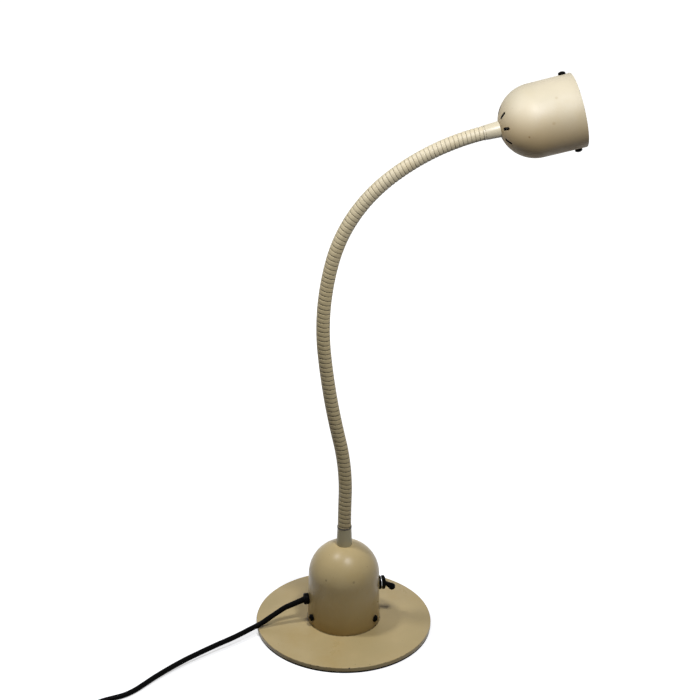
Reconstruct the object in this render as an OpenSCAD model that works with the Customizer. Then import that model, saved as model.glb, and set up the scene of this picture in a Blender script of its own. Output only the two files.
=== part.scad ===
// Gooseneck desk lamp. A heavy round base carries a bell-shaped housing with the switch and
// the cord gland. A neck of ball-jointed links rises from the housing and holds a bell-shaped
// shade. The base rests on z = 0 with its centre at the origin, and the neck lies in the XZ
// plane and bends towards +X.

/* [Base] */
// Diameter of the base plate
base_d = 200; // [170:1:240]
// Height of the plate's upright rim
base_rim_h = 5; // [4:0.5:9]
// Rise of the plate's top from its rim to the housing
base_rise = 3; // [1:0.5:6]
// Chamfer along the plate's upper edge
base_chamfer = 0.4; // [0.2:0.1:1.5]
// Thickness of the foam pad under the plate
pad_h = 2; // [1:0.5:4]
// Distance from the plate's edge to the pad's edge
pad_inset = 0.5; // [0.5:0.5:6]

/* [Housing] */
// Outer radius of the housing at its foot
housing_foot_r = 41; // [39:0.5:46]
// Outer radius of the housing's dome
housing_dome_r = 40.1; // [38:0.1:44]
// Height of the housing from its foot to the start of the dome
housing_skirt_h = 58.5; // [52:0.5:70]
// Sheet thickness of the housing
housing_wall = 1.2; // [0.8:0.1:2]
// Radius of the flat on the crown of the housing and of the shade
crown_land_r = 9.2; // [9:0.1:12]
// Height of the housing's screws above its foot
housing_screw_h = 11; // [8:0.5:14]

/* [Bracket] */
// Sheet thickness of the bracket that holds the housing
bracket_t = 1.5; // [1:0.1:2.5]
// Radius of the opening in the bracket
bracket_bore_r = 24; // [22:0.5:26]
// Height of the bracket's tabs above the base
bracket_tab_h = 20; // [17:0.5:24]
// Angle that each tab spans
bracket_tab_angle = 26; // [16:1:40]
// Radius of the circle of bracket screws
bracket_bolt_circle_r = 31; // [30:0.5:33]

/* [Fasteners] */
// Shank radius of the pan-head screws
screw_r = 1.95; // [1.5:0.05:2.5]
// Head radius of the pan-head screws
screw_head_r = 4; // [3:0.1:4.5]
// Head height of the pan-head screws
screw_head_h = 3.4; // [2.4:0.1:4]
// Shank radius of the countersunk bracket screws
bolt_r = 2.5; // [2:0.1:3]
// Head radius of the countersunk bracket screws
bolt_head_r = 4.7; // [4.2:0.1:5.2]
// Height of the small nuts
nut_h = 3.2; // [2.4:0.1:4]
// Width across the flats of the bracket nuts
bolt_nut_af = 8; // [7:0.1:9]
// Width across the flats of the shade nuts
shade_nut_af = 7; // [6:0.1:8]

/* [Cord gland] */
// Height of the gland's axis above the housing foot
gland_h = 28; // [24:0.5:34]
// Radius of the gland's head
gland_head_r = 6.2; // [5.5:0.1:8]
// Length of the gland's head
gland_head_l = 5.8; // [4:0.1:8]
// Radius of the gland's thread
gland_thread_r = 5; // [4:0.1:5.5]
// Radius of the gland's tail where it leaves the head
gland_tail_r = 3.9; // [3.7:0.1:4.8]
// Radius of the gland's tail at its tip
gland_tip_r = 3.4; // [3.3:0.1:3.7]
// Length of the gland's tapered tail
gland_tail_l = 22; // [20:1:26]

/* [Switch] */
// Height of the switch's axis above the housing foot
switch_h = 42; // [36:0.5:46]
// Outer radius of the switch's threaded bushing
bushing_r = 5.9; // [5.5:0.1:6.5]
// Radius of the bushing's mouth
bushing_bore_r = 4.4; // [4:0.1:4.6]
// Radius of the backing washer
backing_washer_r = 8; // [7:0.1:10]
// Thickness of the backing washer
backing_washer_t = 1.8; // [1:0.1:2.5]
// Radius of the bright lock washer
lock_washer_r = 7.3; // [6.8:0.1:8.5]
// Thickness of the bright lock washer
lock_washer_t = 1; // [0.6:0.1:1.6]
// Width across the flats of the switch nut
switch_nut_af = 13.8; // [13.4:0.1:16]
// Height of the switch nut
switch_nut_h = 4; // [2:0.1:4.5]
// Length of bushing that stands out of the nut
bushing_proud = 0.5; // [0.4:0.1:2]
// Length of the lever from its pivot to its tip
lever_l = 15.5; // [11:0.5:18]
// Radius of the lever at its pivot
lever_root_r = 1.9; // [1.5:0.1:2.2]
// Radius of the lever's rounded tip
lever_tip_r = 4; // [3:0.1:4.5]
// Angle of the lever below the switch's axis
lever_down = 36; // [25:1:37]

/* [Neck] */
// Outer diameter of the neck
neck_d = 15; // [14.4:0.1:15.6]
// Length of one link from hinge to hinge
link_l = 36.9; // [30:0.05:45]
// Ribs on each link
ribs_per_link = 7; // [5:1:8]
// Width of the grooves between the ribs
groove_w = 1; // [0.6:0.1:1.6]
// Depth of the grooves between the ribs
groove_depth = 0.8; // [0.5:0.1:1]
// Chamfer on the edges of the ribs
rib_chamfer = 0.35; // [0.1:0.05:0.6]
// Radius of the ball on the end of each link
ball_r = 5; // [4.8:0.1:5.2]
// Radial clearance of a ball in its cup
ball_play = 0.1; // [0.05:0.05:0.2]
// Height of a hinge's centre above the edge of its cup
cup_edge = 1; // [0.6:0.1:1.4]
// Height of a hinge's centre above the shoulder of the link below
shoulder_drop = 2.6; // [2.5:0.1:3.2]
// Thickness of the wall behind each ball
link_end_wall = 2; // [1.5:0.1:3]
// Radius of the space inside each link
link_bore_r = 4.4; // [3.5:0.1:4.6]
// Radius of the lead's passage through each ball
lead_bore_r = 2.7; // [2.5:0.1:3]
// Radius of the lead inside the neck
lead_r = 2.2; // [1.5:0.1:2.2]

/* [Neck bends] */
// Bend of the neck's first link, positive towards +X
neck_bend_1 = 1.5; // [-10:0.5:10]
// Bend of the next 2 links
neck_bend_2 = -14; // [-24:0.5:10]
// Bend of the next 3 links
neck_bend_3 = 7; // [-10:0.5:24]
// Bend of the next 3 links
neck_bend_4 = 20; // [0:0.5:36]
// Bend of the next 3 links
neck_bend_5 = 37.5; // [10:0.5:48]
// Bend of the last 3 links
neck_bend_6 = 26.5; // [0:0.5:40]

/* [Ferrules] */
// Length of the ferrule on the housing
lower_ferrule_l = 21.7; // [18:0.1:26]
// Length of the ferrule on the shade
upper_ferrule_l = 18.2; // [16:0.1:24]
// Outer radius of a ferrule at its wide end
ferrule_wide_r = 8.8; // [8.4:0.1:9]
// Outer radius of a ferrule at its narrow end
ferrule_narrow_r = 7.8; // [7.6:0.1:8.2]
// Depth of the socket in a ferrule's narrow end
ferrule_socket_l = 9; // [7:0.5:12]
// Distance from a ferrule's narrow end to its ring groove
ferrule_groove_in = 1.6; // [1:0.1:3]
// Radius of the neck's end pieces inside the ferrules
end_piece_r = 6.6; // [6.4:0.1:6.6]
// Radius of the threaded tubes that hold the housing and the shade
tube_thread_r = 5; // [4.5:0.1:5.2]
// Width across the flats of the nuts on the threaded tubes
tube_nut_af = 14; // [12:0.1:15]

/* [Shade] */
// Outer radius of the shade at its rim
shade_rim_r = 40; // [39.5:0.1:43]
// Outer radius of the shade's dome
shade_dome_r = 39.6; // [37:0.1:39.7]
// Length of the shade from its rim to the start of the dome
shade_skirt_l = 46.9; // [45:0.1:52]
// Sheet thickness of the shade
shade_wall = 1; // [0.7:0.1:1.2]
// Vents around the crown
vent_count = 8; // [4:1:12]
// Length of each vent
vent_l = 9; // [6:0.5:14]
// Width of each vent
vent_w = 3.2; // [1.5:0.1:3.6]
// Distance of the vents' centres from the shade's axis
vent_centre_r = 19.4; // [18:0.1:24]
// Turn of the vents around the shade's axis
shade_turn = 25; // [0:1:44]
// Distance of the shade's screws from its rim
shade_screw_in = 8.9; // [7.5:0.1:10]

/* [Reflector] */
// Sheet thickness of the reflector
reflector_t = 0.8; // [0.6:0.1:1.2]
// Radius of the reflector's rear opening
reflector_bore_r = 15; // [14:0.5:18]
// Distance of the reflector's rear opening from the shade's crown
reflector_back = 38; // [36:0.5:40]
// Length of the reflector's upright lip
reflector_lip_l = 12; // [10.5:0.5:13]
// Distance of the lip's front edge from the shade's rim
reflector_in = 3.8; // [2.5:0.1:5]

/* [Lamp] */
// Outer radius of the lampholder
holder_r = 13.5; // [12:0.1:14]
// Length of the lampholder
holder_l = 30; // [26:0.5:32]
// Radius of the bulb's metal cap
bulb_cap_r = 6.9; // [6.7:0.1:7]
// Length of the bulb's metal cap
bulb_cap_l = 25; // [24:0.5:26]
// Radius of the bulb's glass
bulb_r = 22.5; // [20:0.5:23]
// Length of the bulb from its tip to its contact
bulb_l = 72; // [70:0.5:74]
// Glass thickness of the bulb
bulb_wall = 0.8; // [0.6:0.1:1.2]

/* [Hidden] */
$fn = 96;
fit_gap = 0.05;      // between pieces that fit closely in one body
hole_gap = 0.2;      // around a screw in its clearance hole
sheet_gap = 0.25;    // between sheets that stand side by side
overcut = 1;         // how far a cutting shape runs past what it cuts

base_r = base_d / 2;
plate_top = pad_h + base_rim_h + base_rise;
plate_land_r = housing_foot_r + 0.6;

bolt_angles = [20, 140, 260];
bolt_head_h = bolt_head_r - bolt_r;
tab_angles = [-160, -40, 80];

neck_r = neck_d / 2;
thread_gap_r = tube_thread_r + fit_gap;
groove_ring_w = 0.8;
groove_ring_depth = 0.5;

function housing_r_at(h) =
    housing_foot_r + (housing_dome_r - housing_foot_r) * h / housing_skirt_h;
function crown_rise(dome_r) = sqrt(dome_r * dome_r - crown_land_r * crown_land_r);
tab_outer_r = housing_r_at(bracket_tab_h) - housing_wall - sheet_gap;

housing_crown = plate_top + housing_skirt_h + crown_rise(housing_dome_r);
housing_screw_z = plate_top + housing_screw_h;

// cord gland, on the -X side: the cord leaves it sloping down by gland_tilt
gland_z = plate_top + gland_h;
gland_tilt = 22;
gland_seat_x = housing_r_at(gland_h - gland_head_r) + fit_gap;
gland_face_x = gland_seat_x + gland_head_l;
gland_drop = 1;
cord_r = 3;
cord_bore_r = cord_r + fit_gap;
gland_knee = [-(gland_face_x - gland_drop / tan(gland_tilt)), 0, gland_z];
cord_exit = [-gland_face_x, 0, gland_z - gland_drop];
gland_nut_af = 13;
gland_nut_t = 4;
gland_nut_x = sqrt(pow(housing_r_at(gland_h) - housing_wall, 2) - pow(gland_nut_af / sqrt(3), 2))
    - sheet_gap;

// switch, on the +X side
switch_z = plate_top + switch_h;
switch_seat_x = housing_r_at(switch_h - backing_washer_r) + fit_gap;
lock_washer_x = switch_seat_x + backing_washer_t;
switch_nut_x = lock_washer_x + lock_washer_t;
bushing_end_x = switch_nut_x + switch_nut_h + bushing_proud;
switch_body_size = [18, 16, 26];
switch_body_x = sqrt(pow(housing_r_at(switch_h) - housing_wall, 2)
    - pow(switch_body_size[1] / 2, 2)) - sheet_gap;
pivot_x = bushing_end_x - 1.4;
pivot_ball_r = 3;
pivot_pin_r = 0.8;
pivot_pin_l = 10.4;

// terminal block, on the plate inside the bracket
block_size = [24, 18, 14];
supply_lead_z = plate_top + block_size[2] / 2;
switch_lead_y = 5;
switch_lead_r = 1.2;

// neck: how far each link bends, and where each hinge is
bend_runs = [
    [neck_bend_1, 1], [neck_bend_2, 2], [neck_bend_3, 3],
    [neck_bend_4, 3], [neck_bend_5, 3], [neck_bend_6, 3]
];
link_bends = [for (run = bend_runs) for (i = [1:run[1]]) run[0] / run[1]];
link_count = len(link_bends);
last_hinge = link_count + 1;
joint_gap = shoulder_drop - cup_edge;
rib_w = (link_l - joint_gap - (ribs_per_link - 1) * groove_w) / ribs_per_link;

// point at a distance along a link's arc, seen from the hinge at its lower end
function arc_at(bend, along) =
    bend == 0 ? [0, 0, along] :
    let (arc_r = link_l * 180 / (PI * bend), turned = bend * along / link_l)
    [arc_r * (1 - cos(turned)), 0, arc_r * sin(turned)];
function leaned(v, lean) =
    [v[0] * cos(lean) + v[2] * sin(lean), v[1], v[2] * cos(lean) - v[0] * sin(lean)];
function hinge_lean(k) = k == 1 ? 0 : hinge_lean(k - 1) + link_bends[k - 2];
function hinge_at(k) =
    k == 1 ? [0, 0, housing_crown + lower_ferrule_l + shoulder_drop] :
    hinge_at(k - 1) + leaned(arc_at(link_bends[k - 2], link_l), hinge_lean(k - 1));

// head: distances along its axis, measured from the shade's crown
crown_from_hinge = upper_ferrule_l - cup_edge;
shade_l = shade_skirt_l + crown_rise(shade_dome_r);
function shade_r_at(a) =
    shade_rim_r - (shade_rim_r - shade_dome_r) * (shade_l - a) / shade_skirt_l;
tube_end = 8;
shade_nut_h = 3;
holder_back = shade_wall + shade_nut_h + 0.1;
holder_floor = tube_end + 1;
holder_floor_t = 2;
bulb_contact = holder_floor + holder_floor_t + 2;
bulb_tip = bulb_contact + bulb_l;
contact_r = 2;
shade_screw_a = shade_l - shade_screw_in;
shade_screw_angles = [shade_turn + 135, shade_turn + 315];
lip_front = shade_l - reflector_in;
lip_back = lip_front - reflector_lip_l;
lip_r = shade_r_at(lip_back) - shade_wall - sheet_gap;
reflector_steps = 10;

// Free cord: the points that it follows from the gland over the base's edge and along the
// table to its coil, and from the coil to the plug
cord_sides = 10;
cord_route = [
    cord_exit, [-56, 0, 33.16], [-67, 0, 28.7], [-76, -1.2, 23.8], [-86, -2.6, 18],
    [-93.5, -4, 13.6], [-101, -6, 10.8], [-110, -11, 10], [-122, -18.4, 9.3],
    [-134, -25.2, 8.7], [-147, -31.8, 8.1], [-160, -38.8, 7.5], [-173, -46, 6.8],
    [-186, -53.6, 6.2], [-199, -62, 5.5], [-212, -71.2, 4.8], [-225, -81.2, 4.2],
    [-237, -91.4, 3.6], [-249, -101.2, 3.1], [-261, -108.4, 3.1], [-274, -112.4, 3.1],
    [-286, -116.2, 3.1], [-296.4, -122.6, 3.1], [-304.4, -132.8, 3.1], [-308.8, -145.6, 3.1],
    [-310, -160, 3.1], [-310, -182, 3.1]
];
coil_centre = [-268, -184];
coil_mid_r = 33;
coil_turns_across = 4;
coil_layers = 2;
coil_in_r = coil_mid_r - coil_turns_across * cord_r;
coil_out_r = coil_mid_r + coil_turns_across * cord_r;
coil_h = 0.1 + 2 * cord_r * coil_layers + 0.1;
tail_route = [
    [-266, -226.2, 9.2], [-255, -226.4, 8.8], [-244, -226.1, 7.8], [-233, -225.2, 7],
    [-222, -224.2, 6.9], [-211.1, -224, 6.9]
];
plug_at = [-211, -224];
plug_t = 13.8;
plug_l = 36;
plug_w = 35;
plug_neck_w = 12;
pin_r = 2;
pin_l = 19;
pin_pitch = 18.6;

// lead inside the neck: from the terminal block to the lampholder
neck_lead_route = concat(
    [[0, 0, plate_top + block_size[2] + fit_gap], [0, 0, plate_top + 50], [0, 0, housing_crown - 10],
     [0, 0, housing_crown + 8], hinge_at(1)],
    [for (k = [1:link_count]) for (part = [1:2])
        hinge_at(k) + leaned(arc_at(link_bends[k - 1], link_l * part / 2), hinge_lean(k))],
    [for (a = [crown_from_hinge / 2, crown_from_hinge + tube_end])
        hinge_at(last_hinge) + leaned([0, 0, a], hinge_lean(last_hinge))]
);

function link_name(k) = str("neck_link_", k < 10 ? "0" : "", k);

// ---- shapes that several pieces share ----

// bell with its foot at z = 0: a tapering skirt and a dome cut off flat at its crown
module bell(foot_r, dome_r, skirt_h, rise) {
    cylinder(h = skirt_h, r1 = foot_r, r2 = dome_r);
    translate([0, 0, skirt_h]) intersection() {
        sphere(r = dome_r);
        cylinder(h = rise, r = dome_r + overcut);
    }
}

module bell_shell(foot_r, dome_r, skirt_h, wall) {
    difference() {
        bell(foot_r, dome_r, skirt_h, crown_rise(dome_r));
        bell(foot_r - wall, dome_r - wall, skirt_h, crown_rise(dome_r) - wall);
        translate([0, 0, -overcut]) cylinder(h = overcut + 0.01, r = foot_r - wall);
    }
}

module ring(inner_r, outer_r, h) {
    difference() {
        cylinder(h = h, r = outer_r);
        translate([0, 0, -overcut]) cylinder(h = h + 2 * overcut, r = inner_r);
    }
}

module hex_nut(af, bore_r, h) {
    difference() {
        cylinder(h = h, r = af / sqrt(3), $fn = 6);
        translate([0, 0, -overcut]) cylinder(h = h + 2 * overcut, r = bore_r);
    }
}

// screw with a domed head above z = 0, a cross recess and its shank below
module pan_screw(shank_l) {
    dome_r = 1.45 * screw_head_r;
    difference() {
        intersection() {
            cylinder(h = screw_head_h, r = screw_head_r);
            translate([0, 0, screw_head_h - dome_r]) sphere(r = dome_r);
        }
        for (turn = [0, 90]) rotate(turn)
            translate([-screw_head_r / 2, -0.4, screw_head_h - 1.2])
                cube([screw_head_r, 0.8, 2]);
    }
    translate([0, 0, -shank_l]) cylinder(h = shank_l, r = screw_r);
}

// tapered ferrule with its wide end at z = 0, a socket and a ring groove at its narrow end
module ferrule(l) {
    difference() {
        cylinder(h = l, r1 = ferrule_wide_r, r2 = ferrule_narrow_r);
        translate([0, 0, -overcut]) cylinder(h = l + 2 * overcut, r = thread_gap_r);
        translate([0, 0, l - ferrule_socket_l])
            cylinder(h = ferrule_socket_l + overcut, r = end_piece_r + fit_gap);
        translate([0, 0, l - ferrule_groove_in - groove_ring_w])
            ring(ferrule_narrow_r - groove_ring_depth, ferrule_wide_r + overcut, groove_ring_w);
    }
}

// tube through a list of points; ref is a direction that the route never takes
module swept_tube(points, r, sides, ref) {
    last = len(points) - 1;
    rings = [for (i = [0:last])
        let (
            ahead = points[min(i + 1, last)] - points[max(i - 1, 0)],
            t = ahead / norm(ahead),
            across = cross(ref, t),
            u = across / norm(across),
            v = cross(t, u)
        )
        for (j = [0:sides - 1])
            points[i] + r * (u * cos(360 * j / sides) + v * sin(360 * j / sides))];
    walls = [for (i = [0:last - 1]) for (j = [0:sides - 1])
        let (next = (j + 1) % sides)
        [i * sides + j, (i + 1) * sides + j, (i + 1) * sides + next, i * sides + next]];
    polyhedron(rings, concat(
        [[for (j = [0:sides - 1]) j]],
        walls,
        [[for (j = [0:sides - 1]) last * sides + sides - 1 - j]]
    ));
}

// turns a child's z axis to point out of the lamp along -X or +X
module out_left() { rotate([0, -90, 0]) children(); }
module out_right() { rotate([0, 90, 0]) children(); }

module at_hinge(k) { translate(hinge_at(k)) rotate([0, hinge_lean(k), 0]) children(); }
module at_crown() { at_hinge(last_hinge) translate([0, 0, crown_from_hinge]) children(); }

// ---- base ----

module base_plate() {
    color("#cdbf9b") difference() {
        rotate_extrude() polygon([
            [0, pad_h], [base_r, pad_h],
            [base_r, pad_h + base_rim_h - base_chamfer],
            [base_r - base_chamfer, pad_h + base_rim_h],
            [plate_land_r, plate_top], [0, plate_top]
        ]);
        for (a = bolt_angles) rotate(a) translate([bracket_bolt_circle_r, 0, 0]) {
            cylinder(h = plate_top + overcut, r = bolt_r + fit_gap);
            cylinder(h = pad_h + 0.1, r = bolt_head_r + hole_gap);
            translate([0, 0, pad_h + 0.1])
                cylinder(h = bolt_head_h, r1 = bolt_head_r + hole_gap, r2 = bolt_r + hole_gap);
        }
    }
}

module base_pad() {
    color("#1c1c1c") difference() {
        cylinder(h = pad_h, r = base_r - pad_inset);
        for (a = bolt_angles) rotate(a) translate([bracket_bolt_circle_r, 0, -overcut])
            cylinder(h = pad_h + 2 * overcut, r = bolt_head_r + 1.3);
    }
}

module housing_bracket() {
    color("#b9bcc0") difference() {
        translate([0, 0, plate_top]) {
            ring(bracket_bore_r, tab_outer_r - bracket_t / 2, bracket_t);
            for (a = tab_angles) rotate(a - bracket_tab_angle / 2)
                rotate_extrude(angle = bracket_tab_angle)
                    translate([tab_outer_r - bracket_t, 0]) square([bracket_t, bracket_tab_h]);
        }
        for (a = tab_angles) rotate(a) translate([tab_outer_r - bracket_t - overcut, 0, housing_screw_z])
            out_right() cylinder(h = bracket_t + 2 * overcut, r = screw_r + fit_gap);
        for (a = bolt_angles) rotate(a) translate([bracket_bolt_circle_r, 0, plate_top - overcut])
            cylinder(h = bracket_t + 2 * overcut, r = bolt_r + hole_gap);
    }
}

module bracket_screws() {
    color("#9ea1a5") for (a = bolt_angles) rotate(a)
        translate([bracket_bolt_circle_r, 0, pad_h + 0.1]) {
            cylinder(h = bolt_head_h, r1 = bolt_head_r, r2 = bolt_r);
            cylinder(h = base_rim_h + base_rise + bracket_t + nut_h + 0.9, r = bolt_r);
        }
}

module bracket_nuts() {
    color("#9ea1a5") for (a = bolt_angles) rotate(a)
        translate([bracket_bolt_circle_r, 0, plate_top + bracket_t])
            hex_nut(bolt_nut_af, bolt_r + fit_gap, nut_h);
}

// ---- housing ----

module housing() {
    color("#d3c6a4") difference() {
        translate([0, 0, plate_top])
            bell_shell(housing_foot_r, housing_dome_r, housing_skirt_h, housing_wall);
        for (a = tab_angles) rotate(a) translate([housing_dome_r - 6, 0, housing_screw_z])
            out_right() cylinder(h = 12, r = screw_r + hole_gap);
        translate([-housing_dome_r + 6, 0, gland_z])
            out_left() cylinder(h = 12, r = gland_thread_r + hole_gap);
        translate([housing_dome_r - 6, 0, switch_z])
            out_right() cylinder(h = 12, r = bushing_r + hole_gap);
        translate([0, 0, housing_crown - 5]) cylinder(h = 10, r = tube_thread_r + hole_gap);
    }
}

module housing_screws() {
    color("#151515") for (a = tab_angles) rotate(a)
        translate([housing_r_at(housing_screw_h - screw_head_r) + fit_gap, 0, housing_screw_z])
            out_right() pan_screw(6.5);
}

module cord_gland() {
    color("#171717") difference() {
        union() {
            translate([-gland_seat_x, 0, gland_z])
                out_left() cylinder(h = gland_head_l, r = gland_head_r);
            translate([-gland_seat_x + 7, 0, gland_z])
                out_left() cylinder(h = 7.5, r = gland_thread_r);
            translate(gland_knee) rotate([0, -90 - gland_tilt, 0])
                cylinder(h = gland_tail_l + 3, r1 = gland_tail_r, r2 = gland_tip_r);
        }
        translate(gland_knee) {
            rotate([0, -90 - gland_tilt, 0]) cylinder(h = gland_tail_l + 6, r = cord_bore_r);
            sphere(r = cord_bore_r + 0.3);
            out_right() cylinder(h = 20, r = cord_bore_r);
        }
    }
}

module gland_nut() {
    color("#171717") translate([-gland_nut_x, 0, gland_z])
        out_right() hex_nut(gland_nut_af, gland_thread_r + fit_gap, gland_nut_t);
}

module terminal_block() {
    color("#e8e6df") translate([-block_size[0] / 2, -block_size[1] / 2, plate_top])
        cube(block_size);
}

module supply_lead() {
    color("#151515") swept_tube([
        cord_exit, gland_knee, [-34, 0, gland_z], [-29, 0, gland_z - 2.5],
        [-25.5, 0, gland_z - 8], [-22.5, 0, supply_lead_z + 6], [-19.5, 0, supply_lead_z + 1],
        [-16, 0, supply_lead_z], [-block_size[0] / 2 - fit_gap, 0, supply_lead_z]
    ], cord_r, cord_sides, [0, 1, 0]);
}

module switch_leads() {
    color("#3b5f9e") for (y = [-switch_lead_y, switch_lead_y])
        swept_tube([
            [6, y, plate_top + block_size[2]], [6, y, switch_z - 16], [8, y, switch_z - 10],
            [switch_body_x - switch_body_size[0] - 6, y, switch_z - 6],
            [switch_body_x - switch_body_size[0] - fit_gap, y, switch_z - 6]
        ], switch_lead_r, 8, [0, 1, 0]);
}

// ---- switch ----

module switch_body() {
    color("#202020")
        translate([switch_body_x - switch_body_size[0], -switch_body_size[1] / 2,
                   switch_z - switch_body_size[2] / 2])
            cube(switch_body_size);
}

module switch_bushing() {
    color("#8f9296") translate([0, 0, switch_z]) difference() {
        translate([switch_body_x, 0, 0]) out_right()
            cylinder(h = bushing_end_x - switch_body_x, r = bushing_r);
        translate([pivot_x - pivot_ball_r - 0.5, 0, 0]) out_right()
            cylinder(h = 20, r = bushing_bore_r);
        translate([pivot_x, 0, 0]) rotate([90, 0, 0])
            cylinder(h = pivot_pin_l + 0.2, r = pivot_pin_r + fit_gap, center = true);
    }
}

module switch_backing_washer() {
    color("#26221c") translate([switch_seat_x, 0, switch_z]) out_right()
        ring(bushing_r + fit_gap, backing_washer_r, backing_washer_t);
}

module switch_lock_washer() {
    color("#c9ccd0") translate([lock_washer_x, 0, switch_z]) out_right()
        ring(bushing_r + fit_gap, lock_washer_r, lock_washer_t);
}

module switch_nut() {
    color("#1b1b1b") translate([switch_nut_x, 0, switch_z]) out_right()
        hex_nut(switch_nut_af, bushing_r + fit_gap, switch_nut_h);
}

module toggle_lever() {
    color("#121212") translate([pivot_x, 0, switch_z]) {
        sphere(r = pivot_ball_r);
        rotate([90, 0, 0]) cylinder(h = pivot_pin_l, r = pivot_pin_r, center = true);
        rotate([0, 90 + lever_down, 0]) {
            cylinder(h = lever_l - lever_tip_r, r1 = lever_root_r, r2 = lever_tip_r);
            translate([0, 0, lever_l - lever_tip_r]) sphere(r = lever_tip_r);
        }
    }
}

// ---- neck ----

module lower_ferrule() {
    color("#cbbf9d") translate([0, 0, housing_crown]) ferrule(lower_ferrule_l);
}

// threaded tube through the housing's crown, with the neck's first ball on its top
module neck_base_nipple() {
    shoulder = housing_crown + lower_ferrule_l;
    tube_bottom = housing_crown - housing_wall - 9;
    color("#a9a293") difference() {
        union() {
            translate([0, 0, tube_bottom])
                cylinder(h = shoulder - tube_bottom - 1, r = tube_thread_r);
            translate([0, 0, shoulder - ferrule_socket_l])
                cylinder(h = ferrule_socket_l, r = end_piece_r);
            translate(hinge_at(1)) sphere(r = ball_r);
        }
        translate([0, 0, tube_bottom - overcut])
            cylinder(h = shoulder - tube_bottom + 20, r = lead_bore_r);
    }
}

module nipple_washer() {
    color("#b9bcc0") translate([0, 0, housing_crown - housing_wall - 1])
        ring(thread_gap_r, crown_land_r - 0.6, 1);
}

module nipple_nut() {
    color("#b9bcc0") translate([0, 0, housing_crown - housing_wall - 1 - nut_h])
        hex_nut(tube_nut_af, thread_gap_r, nut_h);
}

// tube along a link's arc between two distances from its lower hinge
module arc_tube(bend, from, to, r) {
    if (bend == 0) {
        translate([0, 0, from]) cylinder(h = to - from, r = r);
    } else {
        arc_r = link_l * 180 / (PI * abs(bend));
        angle_at = abs(bend) / link_l;
        mirror([bend < 0 ? 1 : 0, 0, 0]) translate([arc_r, 0, 0]) rotate([90, 0, 0])
            rotate(180 - angle_at * to) rotate_extrude(angle = angle_at * (to - from))
                translate([arc_r, 0]) circle(r = r);
    }
}

module along_arc(bend, along) {
    translate(arc_at(bend, along)) rotate([0, bend * along / link_l, 0]) children();
}

module rib() {
    rotate_extrude() polygon([
        [0, 0], [neck_r - rib_chamfer, 0], [neck_r, rib_chamfer],
        [neck_r, rib_w - rib_chamfer], [neck_r - rib_chamfer, rib_w], [0, rib_w]
    ]);
}

// hollow ribbed link: a cup at its lower hinge, a ball at its upper hinge
module neck_link(k) {
    bend = link_bends[k - 1];
    shoulder = link_l - shoulder_drop;
    color(k % 2 == 0 ? "#d8ccab" : "#cfc29f") at_hinge(k) difference() {
        union() {
            arc_tube(bend, rib_w / 2 - cup_edge, shoulder - rib_w / 2, neck_r - groove_depth);
            for (i = [0:ribs_per_link - 1])
                along_arc(bend, i * (rib_w + groove_w) - cup_edge + rib_w / 2)
                    translate([0, 0, -rib_w / 2]) rib();
            along_arc(bend, link_l) sphere(r = ball_r);
        }
        sphere(r = ball_r + ball_play);
        arc_tube(bend, 0, shoulder - link_end_wall, link_bore_r);
        along_arc(bend, link_l)
            translate([0, 0, -shoulder_drop - link_end_wall - overcut])
                cylinder(h = shoulder_drop + link_end_wall + ball_r + 2 * overcut, r = lead_bore_r);
    }
}

module neck_lead() {
    color("#e2e0da") swept_tube(neck_lead_route, lead_r, 8, [0, 1, 0]);
}

// cup on the neck's last ball, with the threaded tube that carries the shade
module neck_end_fitting() {
    color("#a9a293") at_hinge(last_hinge) difference() {
        union() {
            translate([0, 0, -cup_edge]) cylinder(h = ferrule_socket_l, r = end_piece_r);
            cylinder(h = crown_from_hinge + tube_end, r = tube_thread_r);
        }
        sphere(r = ball_r + ball_play);
        cylinder(h = crown_from_hinge + tube_end + overcut, r = lead_bore_r);
    }
}

module upper_ferrule() {
    color("#cbbf9d") at_crown() mirror([0, 0, 1]) ferrule(upper_ferrule_l);
}

// ---- head ----

module vent_cutter() {
    straight = vent_l - vent_w;
    linear_extrude(shade_dome_r) union() {
        square([straight, vent_w], center = true);
        for (side = [-1, 1]) translate([side * straight / 2, 0]) circle(d = vent_w);
    }
}

module shade() {
    color("#e6dcc2") at_crown() difference() {
        translate([0, 0, shade_l]) mirror([0, 0, 1])
            bell_shell(shade_rim_r, shade_dome_r, shade_skirt_l, shade_wall);
        translate([0, 0, -overcut])
            cylinder(h = shade_wall + 2 * overcut, r = tube_thread_r + hole_gap);
        for (i = [0:vent_count - 1]) rotate(shade_turn + 360 * i / vent_count)
            translate([vent_centre_r, 0, -overcut]) vent_cutter();
        for (a = shade_screw_angles) rotate(a)
            translate([shade_dome_r - 6, 0, shade_screw_a])
                out_right() cylinder(h = 12, r = screw_r + hole_gap);
    }
}

module shade_nut() {
    color("#b9bcc0") at_crown() translate([0, 0, shade_wall])
        hex_nut(tube_nut_af, thread_gap_r, shade_nut_h);
}

module lampholder() {
    color("#ddd9cf") at_crown() difference() {
        translate([0, 0, holder_back]) cylinder(h = holder_l, r = holder_r);
        cylinder(h = holder_floor, r = thread_gap_r);
        cylinder(h = holder_floor + holder_floor_t + overcut, r = contact_r + fit_gap);
        translate([0, 0, holder_floor + holder_floor_t])
            cylinder(h = holder_l, r = bulb_cap_r + hole_gap);
    }
}

module holder_contact() {
    color("#c9a24a") at_crown() translate([0, 0, holder_floor + 0.2])
        cylinder(h = bulb_contact - holder_floor - 0.25, r = contact_r);
}

module bulb_cap() {
    color("#b7b9bb") at_crown() {
        translate([0, 0, bulb_contact]) cylinder(h = 3, r1 = 3.5, r2 = bulb_cap_r);
        translate([0, 0, bulb_contact + 3]) cylinder(h = bulb_cap_l - 3, r = bulb_cap_r);
    }
}

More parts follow.
